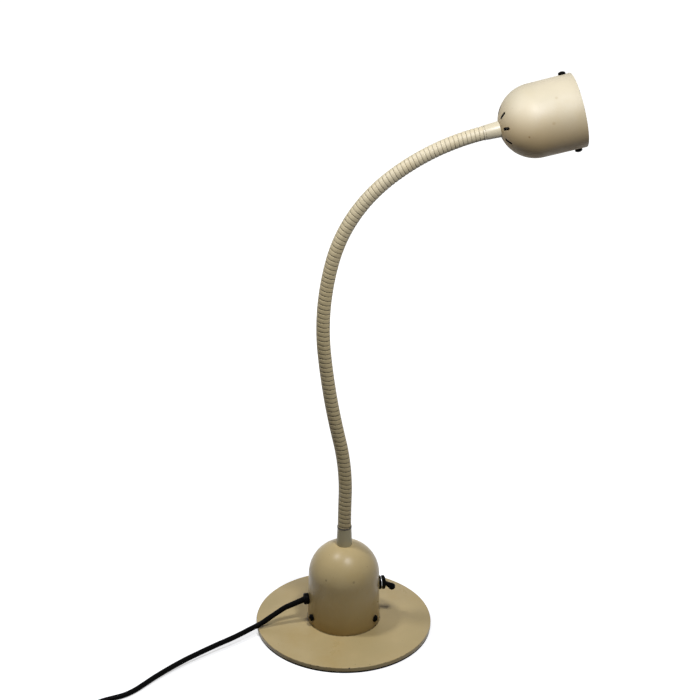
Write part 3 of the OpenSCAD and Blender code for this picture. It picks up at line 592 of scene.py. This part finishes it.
def cut(obj, parts, sharp=SHARP, index=0):
    """Takes closed shapes (verts, faces, place) out of a piece; the new faces get its material number index."""
    verts, faces = merged(parts)
    mesh = bpy.data.meshes.new("cutter")
    mesh.from_pydata((np.array(verts) * MM).tolist(), [], faces)
    tidy(mesh, 180)
    for mat in obj.data.materials:
        mesh.materials.append(mat)
    mesh.polygons.foreach_set("material_index", [index] * len(mesh.polygons))
    cutter = bpy.data.objects.new("cutter", mesh)
    scene.collection.objects.link(cutter)
    mod = obj.modifiers.new("cut", "BOOLEAN")
    mod.operation, mod.solver, mod.object = "DIFFERENCE", "EXACT", cutter
    fresh = bpy.data.meshes.new_from_object(obj.evaluated_get(bpy.context.evaluated_depsgraph_get()))
    obj.modifiers.clear()
    obj.data = fresh
    bpy.data.objects.remove(cutter)
    fresh.shade_smooth()
    fresh.set_sharp_from_angle(angle=math.radians(sharp))


def drum(r, low, high, count=32, top_r=None):
    """Closed cylinder, or cone with top_r, between two heights."""
    return revolved([(0, low), (r, low), (top_r or r, high), (0, high)], count, closed=False)


def hex_outline(af, bore, h):
    """Nut with six chamfered corners and af mm across its flats, as an outline for each angle."""
    round_r = af / 2 * 0.96

    def outline(angle):
        part = (math.degrees(angle) + 30) % 60 - 30
        r = af / 2 / math.cos(math.radians(part))
        drop = max(0.0, r - round_r) * 0.55
        return [(bore, 0.35), (bore + 0.35, 0), (round_r, 0), (r, drop), (r, h - drop), (round_r, h),
                (bore + 0.35, h), (bore, h - 0.35)]
    return outline


def lofted(sections):
    """Closed mesh through equal rings of points."""
    n = len(sections[0])
    verts = [p for ring in sections for p in ring]
    faces = []
    for i in range(len(sections) - 1):
        for j in range(n):
            k = (j + 1) % n
            faces.append([i * n + j, i * n + k, (i + 1) * n + k, (i + 1) * n + j])
    faces.append(list(range(n - 1, -1, -1)))
    faces.append([(len(sections) - 1) * n + j for j in range(n)])
    return verts, faces


# ---------------------------------------------------------------- base

plate_outline = rounded([
    (0, PAD_H), (BASE_R, PAD_H, 0.5), (BASE_R, PAD_H + BASE_EDGE, 0.9), (LAND_R, PLATE_TOP, 4), (0, PLATE_TOP),
], closed=False, steps=5)
plate = lathe("base_plate_enamelled", plate_outline, base_paint, "base", "cream_paint", None, ["base_plate"], 160,
              edge=lambda r, z: smooth((r - BASE_R + 1.1) / 0.9) * smooth((z - 5.4) / 1.2))
bolt_holes = drum(2.6, 1, 12), drum(4.9, 1, 4.3, top_r=2.7)
cut(plate, [(*hole, at(BOLT_RING_R, turned=a)) for hole in bolt_holes for a in BOLT_ANGLES])


def bell_outline(foot, dome, skirt, wall):
    """Shell of a bell with its rim at z = 0, as a closed outline."""
    lip, steps = 0.5, 22

    def arc(radius, end, order):
        return [(radius * math.cos(end * i / steps), skirt + radius * math.sin(end * i / steps)) for i in order]

    crown = skirt + crown_rise(dome)
    inside = dome - wall
    outer = [(foot, lip)] + [(foot + (dome - foot) * t, skirt * t) for t in (0.25, 0.5, 0.75)]
    outer += arc(dome, math.acos(CROWN_R / dome), range(steps + 1))
    inner = arc(inside, math.asin((crown - wall - skirt) / inside), range(steps, -1, -1))
    inner += [(foot - wall + (dome - foot) * t, skirt * t) for t in (0.75, 0.5, 0.25)] + [(foot - wall, lip)]
    rim = [(foot - wall + 0.2, 0.12), (foot - wall + 0.42, 0), (foot - 0.42, 0), (foot - 0.14, 0.14)]
    return outer + [(CROWN_BORE, crown), (CROWN_BORE, crown - wall)] + inner + rim


# the lowest 1.2 mm of the housing, against the plate, get painted shadow through edge
housing = lathe("housing_shell", bell_outline(**HOUSING), housing_paint, "base", "cream_paint", at(z=PLATE_TOP),
                ["housing"], 128, edge=lambda r, z: smooth((1.2 - z) / 1.0) * 0.8 if r > 39 else 0.0)
THROUGH = 30, 46  # from inside the wall to outside it
cut(housing, [(*drum(SCREW_HOLE_R, *THROUGH), at(z=SCREW_Z, lean=90, turned=a)) for a in TAB_ANGLES] + [
    (*drum(5.2, *THROUGH), at(z=GLAND_Z, lean=-90)), (*drum(6.1, *THROUGH, 48), at(z=SWITCH_Z, lean=90))])


def pan_screw(shank):
    """Pan-head screw, head above z = 0 and shank below, without its recess."""
    dome = 1.45 * SCREW_HEAD_R
    rise = [(dome * math.sin(t), SCREW_HEAD_H - dome + dome * math.cos(t))
            for t in np.linspace(0, math.asin(3.65 / dome), 8)]
    edge = rise[-1][1]
    outline = [(0, -shank), (1.6, -shank), (1.95, -shank + 0.4), (1.95, -0.01), (3.8, 0), (SCREW_HEAD_R, 0.2),
               (SCREW_HEAD_R, edge - 0.55), (SCREW_HEAD_R - 0.1, edge - 0.2)] + rise[::-1]
    return revolved(outline, 40, closed=False)


def recess_cutters():
    """Two crossed wedges that widen upwards."""
    half_w, half_l = 0.42, 2.0
    levels = (SCREW_HEAD_H - 1.25, 0.55), (SCREW_HEAD_H + 1, 1.25)
    verts = [(x * half_l * s, y * half_w, z) for z, s in levels for x, y in ((-1, -1), (1, -1), (1, 1), (-1, 1))]
    faces = [[3, 2, 1, 0], [4, 5, 6, 7], [0, 1, 5, 4], [1, 2, 6, 5], [2, 3, 7, 6], [3, 0, 4, 7]]
    return [(verts, faces, Matrix.Rotation(math.radians(turned), 4, "Z")) for turned in (0, 90)]


def screws(name, places, shank, body, replaces, spins):
    for number, (place, spin) in enumerate(zip(places, spins), 1):
        place = place @ Matrix.Rotation(math.radians(spin), 4, "Z")
        screw = piece(f"{name}_{number}", *pan_screw(shank), black_steel, body, "black_steel", replaces, place)
        for verts, faces, turned in recess_cutters():
            cut(screw, [(verts, faces, place @ turned)])


seat = housing_r_at(SCREW_H - SCREW_HEAD_R) + SEAT_GAP
screws("housing_screw", [at(seat, 0, SCREW_Z, lean=90, turned=a) for a in TAB_ANGLES], 6.5, "base", ["housing_screws"],
       (12, 50, 30))

# cord gland: round head and a slim tapered boot that the cord leaves
gland_head = rounded([
    (3.1, 0), (6.5, 0, 0.6), (6.5, GLAND_HEAD_L - 0.3, 2.2), (4.0, GLAND_HEAD_L, 0.3), (3.1, GLAND_HEAD_L - 0.5),
])
gland_neck = rounded([(3.1, -7), (5, -7, 0.4), (5, 0.3), (3.1, 0.3)])
gland_place = at(-GLAND_SEAT, 0, GLAND_Z, lean=-90)
gland = merged([(*revolved(gland_head, 56), gland_place), (*revolved(gland_neck, 40), gland_place)])
piece("gland_head", *gland, black_plastic, "base", "black_plastic", ["cord_gland"])
boot = [(3.04, 0.0), (3.42, 0.0)]
for i in range(9):
    z = 3.2 + i * 2.3
    r = 3.42 - 0.24 * (z / 25)
    boot += [(r, z), (r, z + 1.3), (r - 0.1, z + 1.5), (r - 0.1, z + 2.1)]
boot += [(3.16, 24.4), (3.1, 24.9), (3.04, 25)]
lathe("gland_boot", boot, black_plastic, "base", "black_plastic",
      Matrix.Translation(GLAND_KNEE) @ at(lean=-90 - GLAND_TILT), ["cord_gland"], 40)

# ---------------------------------------------------------------- switch

THREAD_R, THREAD_BORE, WASHER_R = 5.9, 5.95, 7.1
GASKET_L, WASHER_L, NUT_L = 1.8, 1, 4
SEAT = housing_r_at(SWITCH_H - GASKET_R) + SEAT_GAP
NUT_X = SEAT + GASKET_L + WASHER_L
END_X = NUT_X + NUT_L + 0.5
PIVOT_X = END_X - 1.4
facing = at(SEAT, 0, SWITCH_Z, lean=90)
gasket = rounded([(THREAD_BORE, 0), (GASKET_R, 0, 0.3), (GASKET_R, GASKET_L, 0.5), (THREAD_BORE, GASKET_L)])
lathe("switch_gasket", gasket, black_plastic, "base", "black_plastic", facing, ["switch_backing_washer"], 64)
low, high = GASKET_L, GASKET_L + WASHER_L
washer = rounded([(THREAD_BORE, low), (WASHER_R, low, 0.15), (WASHER_R, high, 0.25), (THREAD_BORE, high)])
lathe("switch_washer", washer, bright, "base", "bright_washer", facing, ["switch_lock_washer"], 64)
lathe("switch_hex_nut", hex_outline(13.8, THREAD_BORE, NUT_L), black_steel, "base", "black_steel",
      at(NUT_X, 0, SWITCH_Z, lean=90), ["switch_nut"], 72, sharp=25)
body_x = math.sqrt((housing_r_at(SWITCH_H) - HOUSING["wall"]) ** 2 - GASKET_R ** 2) - 0.25
end, groove_z, bore_end = END_X - SEAT, NUT_X + 3.75 - SEAT, PIVOT_X - 3.5 - SEAT
thread = [
    (0, body_x - SEAT), (THREAD_R, body_x - SEAT), (THREAD_R, groove_z), (THREAD_R, groove_z + 0.12),
    (5.62, groove_z + 0.32), (THREAD_R, groove_z + 0.52), (5.75, end - 0.02), (5.6, end), (4.55, end),
    (4.4, end - 0.15), (4.4, bore_end), (0, bore_end),
]
bushing = piece("switch_threaded_bushing", *revolved(thread, 64, closed=False), black_steel, "base", "black_steel",
                ["switch_bushing"], facing)
across = Matrix.Translation((PIVOT_X, 0, SWITCH_Z)) @ Matrix.Rotation(math.radians(90), 4, "X")
cut(bushing, [(*drum(0.85, -5.3, 5.3, 20), across)])

LEVER_L, TIP_R, LEVER_LEAN = 15.5, 4.0, 36
tip = [(TIP_R * math.cos(t), LEVER_L - TIP_R + TIP_R * math.sin(t)) for t in np.linspace(0.12, math.pi / 2, 12)]
tip[-1] = (0, LEVER_L)
stem = [(0, -3)] + [(3 * math.sin(t), -3 * math.cos(t)) for t in np.linspace(0.25, 2.4, 10)]
stem += [(2.4, 2.9), (2.5, 4.0), (2.9, 6.6), (3.45, 9.1), (3.85, 10.7)]
lever = merged([(*revolved(stem + tip, 48, closed=False), at(PIVOT_X, 0, SWITCH_Z, lean=90 + LEVER_LEAN)),
                (*drum(0.8, -5.2, 5.2, 20), across)])
piece("toggle_bat", *lever, black_plastic, "switch_lever", "black_plastic", ["toggle_lever"])

# ---------------------------------------------------------------- ferrules

FERRULE_FOOT_R, FERRULE_TOP_R, FERRULE_BORE, SOCKET_R, SOCKET_L = 8.8, 7.8, 5.05, 6.65, 9
LIP = 1.9  # of the lower ferrule, above its length


def upper_ferrule_outline(length):
    """Tapered sleeve with a thin groove near its narrow end."""
    groove = length - 2.4

    def taper(z):
        return FERRULE_FOOT_R + (FERRULE_TOP_R - FERRULE_FOOT_R) * z / length

    return rounded([
        (FERRULE_BORE, 0), (FERRULE_FOOT_R, 0, 0.35), (taper(groove), groove, 0.12),
        (FERRULE_TOP_R - 0.8, groove + 0.1, 0.1), (FERRULE_TOP_R - 0.8, groove + 0.7, 0.1),
        (taper(groove + 0.8), groove + 0.8, 0.15), (FERRULE_TOP_R, length, 0.35), (7.1, length, 0.3),
        (SOCKET_R, length - 0.6), (SOCKET_R, length - SOCKET_L), (FERRULE_BORE, length - SOCKET_L),
    ])


def lower_ferrule_outline(length):
    """Tapered sleeve that ends in a lip around the first rings of the neck."""
    return rounded([
        (FERRULE_BORE, 0), (FERRULE_FOOT_R, 0, 0.35), (7.9, length - 0.5, 0.15), (8.15, length - 0.3, 0.3),
        (8.15, length + LIP, 0.6), (7.53, length + LIP, 0.1), (7.53, length), (SOCKET_R, length - 0.6),
        (SOCKET_R, length - SOCKET_L), (FERRULE_BORE, length - SOCKET_L),
    ])


# the ferrules are darker at the ends where they meet the housing, the shade and the neck
def foot_darkened(r, z):
    return 0.75 * smooth((0.6 - z) / 0.5) if r > 7 else 0


def ends_darkened(r, z):
    return max(foot_darkened(r, z), 0.75 * smooth((z - UPPER_FERRULE + 0.7) / 0.6) if r > 7 else 0)


lathe("ferrule_lower", lower_ferrule_outline(LOWER_FERRULE), lower_ferrule_paint, "base", "cream_paint",
      at(z=HOUSING_CROWN), ["lower_ferrule"], 64, edge=foot_darkened)
lathe("ferrule_upper", upper_ferrule_outline(UPPER_FERRULE), ferrule_paint, "head", "cream_paint",
      at_crown() @ Matrix.Rotation(math.pi, 4, "X"), ["upper_ferrule"], 64, edge=ends_darkened)

# ---------------------------------------------------------------- neck

# mm along the neck and the spacing of the rings there, as measured in the photo
RIB_PITCH = [
    (-40, 5.57), (45, 5.57), (105, 5.62), (165, 5.56), (225, 5.42), (285, 5.32), (345, 5.06), (405, 4.8), (465, 4.64),
    (600, 4.5),
]
ALONG_STEP = 0.5
ALONG = np.arange(RIB_PITCH[0][0], RIB_PITCH[-1][0] + ALONG_STEP, ALONG_STEP)
PITCH = np.interp(ALONG[:-1] + ALONG_STEP / 2, *zip(*RIB_PITCH))
TURNS_AT = np.concatenate([[0.0], np.cumsum(ALONG_STEP / PITCH)])
# one ring: part of a turn and radius, from groove to groove
RIB = [
    (0, 6.88), (0.038, 6.9), (0.056, 7.16), (0.072, 7.36), (0.11, 7.46), (0.3, 7.5), (0.5, 7.5), (0.7, 7.5),
    (0.89, 7.46), (0.928, 7.36), (0.944, 7.16), (0.962, 6.9),
]
COLUMNS, INNER_R, GROOVE_FROM = 48, 5.5, 7.45


def neck_point(r, s, angle):
    """Point r mm from the neck's centreline, s mm along it."""
    centre, lean = on_neck(s)
    return centre + leaned((r * math.cos(angle), r * math.sin(angle), 0), lean)


def turn_of(s):
    """Number of rings below s mm along the neck."""
    return float(np.interp(s, ALONG, TURNS_AT))


def along_at(turn):
    """Inverse of turn_of."""
    return float(np.interp(turn, TURNS_AT, ALONG))


def wound_skin(start, turns):
    """Closed sleeve whose ribs wind along the neck as one helix, from turn start for a number of turns."""
    verts, groove, rest, faces = [], [], [], []

    def add(r, s, angle, dark):
        verts.append(neck_point(r, s, angle))
        groove.append(dark)
        rest.append((r * math.cos(angle), r * math.sin(angle), s))
        return len(verts) - 1

    outer, inner = [], []
    for j in range(COLUMNS):
        angle = 2 * math.pi * j / COLUMNS
        lift = start + j / COLUMNS
        column = []
        for i in range(len(RIB) * turns + 1):
            turns_up, within = divmod(i, len(RIB))
            u, r = RIB[within]
            # how far down a groove a point lies, which the paint darkens as painted shade
            dark = min(1, (GROOVE_FROM - r) / 0.3) if r < GROOVE_FROM else 0
            column.append(add(r, along_at(lift + turns_up + u), -angle, dark))
        outer.append(column)
        inner.append([add(INNER_R, along_at(lift + i), -angle, 1) for i in range(turns + 1)])
    for j in range(COLUMNS):
        a = outer[j]
        b = outer[j + 1] if j + 1 < COLUMNS else outer[0][len(RIB):]
        for i in range(min(len(a), len(b)) - 1):
            faces.append([a[i], b[i], b[i + 1], a[i + 1]])
        c = inner[j]
        d = inner[j + 1] if j + 1 < COLUMNS else inner[0][1:]
        for i in range(min(len(c), len(d)) - 1):
            faces.append([d[i], c[i], c[i + 1], d[i + 1]])
        faces.append([a[0], c[0], d[0], b[0]])
        if j + 1 < COLUMNS:
            faces.append([a[-1], b[-1], d[-1], c[-1]])
        else:
            faces.append([a[-1 - len(RIB)], outer[0][-1], inner[0][-1], c[-2]])
    first, last = outer[0], outer[-1]
    faces.append(first[:len(RIB) + 1] + [inner[0][1], inner[0][0]])
    faces.append(last[-len(RIB) - 1:][::-1] + [inner[-1][-2], inner[-1][-1]])
    return verts, faces, groove, rest


def trim(obj, s, keep_above):
    """Cuts a neck piece square at s and closes it."""
    point, lean = on_neck(s)
    normal = leaned((0, 0, 1), lean)
    bm = bmesh.new()
    bm.from_mesh(obj.data)
    found = bmesh.ops.bisect_plane(bm, geom=bm.verts[:] + bm.edges[:] + bm.faces[:], plane_co=point * MM,
                                   plane_no=normal, clear_inner=keep_above, clear_outer=not keep_above, dist=1e-7)
    edges = [e for e in found["geom_cut"] if isinstance(e, bmesh.types.BMEdge)]
    bmesh.ops.triangle_fill(bm, edges=edges, use_beauty=True, use_dissolve=False)
    bmesh.ops.recalc_face_normals(bm, faces=bm.faces)
    bm.to_mesh(obj.data)
    bm.free()
    obj.data.shade_smooth()
    obj.data.set_sharp_from_angle(angle=math.radians(SHARP))


SKIN_START, SKIN_END = -SHOULDER_DROP + 0.02, LINKS * LINK - CUP_EDGE - 0.02
BEND_REACH = 18  # mm of skin on each side of a hinge, where the points listed in bend lie
LEAD_R, LEAD_START_H = 2.2, 14.05
# here bend lists the body above the hinge first: from below, rounding at the joints' limits tears the skin
FROM_ABOVE = (9,)
starts = [math.floor(turn_of(SKIN_START)) - 1] + [round(turn_of((k + 0.5) * LINK) - 0.5) for k in range(LINKS)]
starts.append(math.ceil(turn_of(SKIN_END)) + 1)
for k in range(1, LINKS + 2):
    hinge = (k - 1) * LINK
    verts, faces, groove, rest = wound_skin(starts[k - 1], starts[k] - starts[k - 1])
    mesh = bpy.data.meshes.new(f"neck_skin_{k:02d}")
    mesh.from_pydata([tuple(v * MM) for v in verts], [], faces)
    layer = mesh.attributes.new("groove", "FLOAT", "POINT")
    layer.data.foreach_set("value", np.asarray(groove, np.float32))
    layer = mesh.attributes.new("rest", "FLOAT_VECTOR", "POINT")
    layer.data.foreach_set("vector", np.asarray(rest, np.float32).ravel() * MM)
    mesh.materials.append(neck_paint)
    tidy(mesh, SHARP)
    skin = bpy.data.objects.new(f"neck_skin_{k:02d}", mesh)
    scene.collection.objects.link(skin)
    low, high = hinge - BEND_REACH, hinge + BEND_REACH
    ends = [(k - 1.5) * LINK, (k - 0.5) * LINK]  # of this stretch of the lead inside
    if k == 1:
        trim(skin, SKIN_START, True)
        low, high = SKIN_START, 20
        ends[0] = -(HINGES[0].z - PLATE_TOP - LEAD_START_H)
    if k == LINKS + 1:
        trim(skin, SKIN_END, False)
        low, high = hinge - 22, SKIN_END
        ends[1] = hinge + CROWN_FROM_HINGE + 8
    bend = [(BODIES[k - 1], on_neck(low)[0] * MM), (BODIES[k], on_neck(high)[0] * MM)]
    if k in FROM_ABOVE:
        bend.reverse()
    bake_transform(skin)
    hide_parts(f"neck_link_{min(k, LINKS):02d}")

    steps = max(8, round((ends[1] - ends[0]) / 4))
    rings = [[neck_point(LEAD_R, s, 2 * math.pi * j / 16) for j in range(16)] for s in np.linspace(*ends, steps + 1)]
    lead = piece(f"neck_lead_{k:02d}", *lofted(rings), lead_pvc, None, "lead_white")
    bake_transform(lead)
    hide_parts("neck_lead")

# ---------------------------------------------------------------- head

VENT_TURN, VENT_L, VENT_W, VENT_R = 25, 9.0, 3.2, 19.4
SHADE_SCREW_A, SHADE_SCREW_TURNS = SHADE_L - 8.9, (VENT_TURN + 135, VENT_TURN + 315)
shade_place = at_crown(SHADE_L) @ Matrix.Rotation(math.pi, 4, "X")
shade = lathe("shade_shell", bell_outline(**SHADE), shade_paint, "head", "cream_paint", shade_place, ["shade"], 128,
              edge=lambda r, z: smooth((1.3 - z) / 1.1) if r > 38 else 0.0)
shade.data.materials.append(shade_inside_painted_dark)
# its inner face is painted dark as shade, but for a strip at the rim
to_shade = shade_place.inverted()
for face in shade.data.polygons:
    local = to_shade @ (face.center / MM)
    r, above = math.hypot(local.x, local.y), local.z - SHADE["skirt"]
    depth = SHADE["dome"] - math.hypot(r, above) if above > 0 else shade_r_at(SHADE_L - local.z) - r
    if depth > 0.5 and local.z > 6:
        face.material_index = 1
half, reach = VENT_W / 2, (VENT_L - VENT_W) / 2
slot_ring = [(side * reach + half * math.cos(t), half * math.sin(t))
             for side, start in ((-1, math.pi / 2), (1, -math.pi / 2)) for t in np.linspace(start, start + math.pi, 9)]
vent = lofted([[(x, y, z) for x, y in slot_ring] for z in (-1, 38)])
# the vents' walls take the painted dark of the inner face
cut(shade, [(*vent, at_crown() @ at(VENT_R, turned=VENT_TURN + 45 * i)) for i in range(8)], 30, index=1)
cut(shade, [(*drum(SCREW_HOLE_R, 32, 45), at_crown() @ at(0, 0, SHADE_SCREW_A, lean=90, turned=a))
            for a in SHADE_SCREW_TURNS], 30)
seat = shade_r_at(SHADE_SCREW_A + SCREW_HEAD_R) + SEAT_GAP
screws("shade_screw", [at_crown() @ at(seat, 0, SHADE_SCREW_A, lean=90, turned=a) for a in SHADE_SCREW_TURNS], 6.6,
       "head", ["shade_screws"], (35, 8))

# reflector, spun, with shallow rings and a rolled lip
DISH_T, DISH_BACK, DISH_BACK_R = 0.8, 38, 15
LIP_FRONT = SHADE_L - 3.8
LIP_BACK = LIP_FRONT - 12
LIP_R = shade_r_at(LIP_BACK) - 1 - 0.25
inner = []
for i in range(41):
    t = i / 40
    ripple = 0.1 * math.sin(t * 2 * math.pi * 9) * smooth(t / 0.1) * smooth((1 - t) / 0.1)
    inner.append((DISH_BACK_R + (LIP_R - DISH_T - DISH_BACK_R) * t ** 0.8 + ripple,
                  DISH_BACK + (LIP_BACK - DISH_BACK) * t))
outer = [(r + DISH_T, a) for r, a in inner[::-1]]
outer[0] = (LIP_R, LIP_BACK)
lip = [(LIP_R - DISH_T, LIP_FRONT - 0.3), (LIP_R - 0.55, LIP_FRONT), (LIP_R - 0.25, LIP_FRONT),
       (LIP_R, LIP_FRONT - 0.3)]
dish = lathe("reflector_dish", inner + lip + outer, spun, "head", "reflector", at_crown(), ["reflector"], 96)
cut(dish, [(*drum(2.0, 33, 45, 24), at_crown() @ at(0, 0, SHADE_SCREW_A, lean=90, turned=a))
           for a in SHADE_SCREW_TURNS])

# lampholder, screw cap and opal globe
holder = rounded([
    (5.05, 4.1), (13.5, 4.1, 0.8), (13.5, 12, 0.2), (12.9, 12.5, 0.2), (12.9, 30, 0.3), (13.5, 30.6, 0.3),
    (13.5, 34.1, 0.9), (7.1, 34.1, 0.4), (7.1, 11), (2.05, 11), (2.05, 9), (5.05, 9),
])
lathe("lampholder_glazed", holder, ceramic, "head", "block_white", at_crown(), ["lampholder"], 64)
cap = [(0, 13), (3.2, 13), (3.5, 13.2), (6.3, 15.6)]
for i in range(6):
    z = 16.4 + i * 2.6
    cap += [(6.35, z), (6.75, z + 0.6), (6.9, z + 1.0), (6.75, z + 1.4), (6.35, z + 2.0)]
cap += [(6.6, 33), (6.9, 34), (6.9, 38), (0, 38)]
piece("bulb_screw_cap", *revolved(cap, 56, closed=False), cap_metal, "head", "bulb_cap", ["bulb_cap"], at_crown())
BULB_R, BULB_TIP, GLASS_T, NECK_TURN = 22.5, 85.0, 0.8, -0.86
centre = BULB_TIP - BULB_R
globe = [(6.7, 38.05), (7.6, 38.3), (9.6, 39.4), (11.0, 41.2), (12.6, 44.2)]
globe += [(BULB_R * math.cos(t), centre + BULB_R * math.sin(t)) for t in np.linspace(NECK_TURN, math.pi / 2, 30)]
globe[-1] = (0, BULB_TIP)
inside = [(0, BULB_TIP - GLASS_T)] + [((BULB_R - GLASS_T) * math.cos(t), centre + (BULB_R - GLASS_T) * math.sin(t))
                                      for t in np.linspace(math.pi / 2 - 0.06, NECK_TURN, 29)]
inside += [(11.8, 44.4), (10.2, 41.6), (8.9, 40.1), (6.7, 39.0)]
lathe("bulb_globe", globe + inside, opal, "head", "bulb_glass", at_crown(), ["bulb_glass"], 72, sharp=60)

# ---------------------------------------------------------------- cord, plug

cord_curve.materials.append(cord_pvc)


def section(x, half_w, half_t, power):
    """Ring of points between a circle (power 2) and a rounded rectangle, x mm from the cord's end."""
    ring = []
    for j in range(40):
        t = 2 * math.pi * j / 40
        c, s = math.cos(t), math.sin(t)
        ring.append((x, half_w * math.copysign(abs(c) ** (2 / power), c),
                     half_t * math.copysign(abs(s) ** (2 / power), s)))
    return ring


PLUG_Z, PIN_X, PIN_Y, PIN_R, PIN_L = 6.9, 36, 9.3, 2, 19
sections = [section(*numbers) for numbers in (
    (0.05, 3.3, 3.3, 2), (0.4, 4.4, 4.4, 2), (2, 5.2, 4.9, 2.2), (4, 5.6, 5.2, 2.4), (8, 6.6, 5.8, 2.6),
    (11, 8.4, 6.3, 2.8), (14, 11.4, 6.6, 3), (17, 14.2, 6.75, 3.2), (20, 16.3, 6.85, 3.4), (22, 17.1, 6.9, 3.6),
    (24, 17.4, 6.9, 3.8), (24.6, 17.0, 6.6, 3.8), (25.2, 17.0, 6.6, 3.8), (25.8, 17.4, 6.9, 3.8),
    (34.4, 17.4, 6.9, 3.8), (35.5, 17.0, 6.6, 3.8), (35.95, 16.2, 5.9, 3.8))]
plug = piece("plug_moulding", *lofted(sections), black_plastic, "base", "black_plastic", ["plug_body"],
             Matrix.Translation((*PLUG_AT, PLUG_Z)))
pin_outline = [(0, 0), (PIN_R, 0), (PIN_R, PIN_L - 2.4)]
pin_outline += [(PIN_R * math.cos(t), PIN_L - PIN_R + PIN_R * math.sin(t)) for t in np.linspace(0, math.pi / 2, 7)]
pin_outline[-1] = (0, PIN_L)
pins = merged([(*revolved(pin_outline, 32, closed=False),
                Matrix.Translation((PLUG_AT[0] + PIN_X, PLUG_AT[1] + side * PIN_Y, PLUG_Z)) @ at(lean=90))
               for side in (-1, 1)])
pins = piece("plug_contact_pins", *pins, brass, "base", "brass", ["plug_pins"])
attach(cord_piece, "base")
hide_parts("power_cord", "cord_coil", "cord_tail")

# ---------------------------------------------------------------- floor, world and lamps

# how much the floor reflects as it is seen and as it lights the lamp, and its glow up to 0.2 m and from 0.7 m
FLOOR_SEEN, FLOOR_BOUNCE = 0.8, 0.07
GLOW_NEAR, GLOW_NEAR_TO, GLOW_FAR, GLOW_FAR_FROM = 0.6, 0.2, 1.05, 0.7
FLOOR_HALF, FLOOR_DROP = 8, 0.0002  # m; it lies just under the pad
AMBIENT = 0.03
LAMP_TINT, BOUNCE_TINT = (0.97, 0.985, 1.045), (1.0, 0.86, 0.66, 1.0)

floor_mesh = bpy.data.meshes.new("floor")
corners = [(x * FLOOR_HALF, y * FLOOR_HALF, 0) for x, y in ((-1, -1), (1, -1), (1, 1), (-1, 1))]
floor_mesh.from_pydata(corners, [], [[0, 1, 2, 3]])
floor = bpy.data.objects.new("floor", floor_mesh)
scene.collection.objects.link(floor)
floor.location.z = -FLOOR_DROP
floor_mat = bpy.data.materials.new("floor_white")
n = Tree(floor_mat)
n.nodes.clear()
seen = n.seen_directly()
away = n.add("ShaderNodeVectorMath", operation="LENGTH")
n.put(away.inputs[0], n.add("ShaderNodeTexCoord").outputs["Object"])
level = n.span(away.outputs["Value"], GLOW_NEAR_TO, GLOW_FAR_FROM, GLOW_NEAR, GLOW_FAR, "LINEAR")
glow, matte = n.add("ShaderNodeEmission"), n.add("ShaderNodeBsdfDiffuse")
both, out = n.add("ShaderNodeAddShader"), n.add("ShaderNodeOutputMaterial")
n.put(glow.inputs["Strength"], n.maths("MULTIPLY", seen, level))
n.put(matte.inputs["Color"], n.span(seen, 0.0, 1.0, FLOOR_BOUNCE, FLOOR_SEEN, "LINEAR"))
n.put(both.inputs[0], glow.outputs[0])
n.put(both.inputs[1], matte.outputs[0])
n.put(out.inputs["Surface"], both.outputs[0])
floor_mesh.materials.append(floor_mat)

world = bpy.data.worlds.new("studio")
scene.world = world
n = Tree(world)
n.nodes.clear()
seen = n.seen_directly()
sky, out = n.add("ShaderNodeBackground"), n.add("ShaderNodeOutputWorld")
n.put(sky.inputs["Color"], n.mix(seen, BOUNCE_TINT, (1, 1, 1, 1)))
n.put(sky.inputs["Strength"], n.span(seen, 0.0, 1.0, AMBIENT, 1.0, "LINEAR"))
n.put(out.inputs["Surface"], sky.outputs[0])


def softbox(name, place, target, size, power):
    lamp = bpy.data.lights.new(name, "AREA")
    lamp.shape, lamp.size, lamp.energy = "DISK", size, power
    lamp.color = LAMP_TINT
    obj = bpy.data.objects.new(name, lamp)
    scene.collection.objects.link(obj)
    obj.location = place
    obj.rotation_euler = (Vector(target) - Vector(place)).to_track_quat("-Z", "Y").to_euler()


# two round softboxes close above the lamp, which its domes mirror
softbox("softbox_left", (-0.366, 0.043, 1.1), (0.0, 0.0, 0.1), 0.13, 3.9)
softbox("softbox_front", (0.157, -0.383, 1.1), (0.0, 0.0, 0.1), 0.19, 6.0)
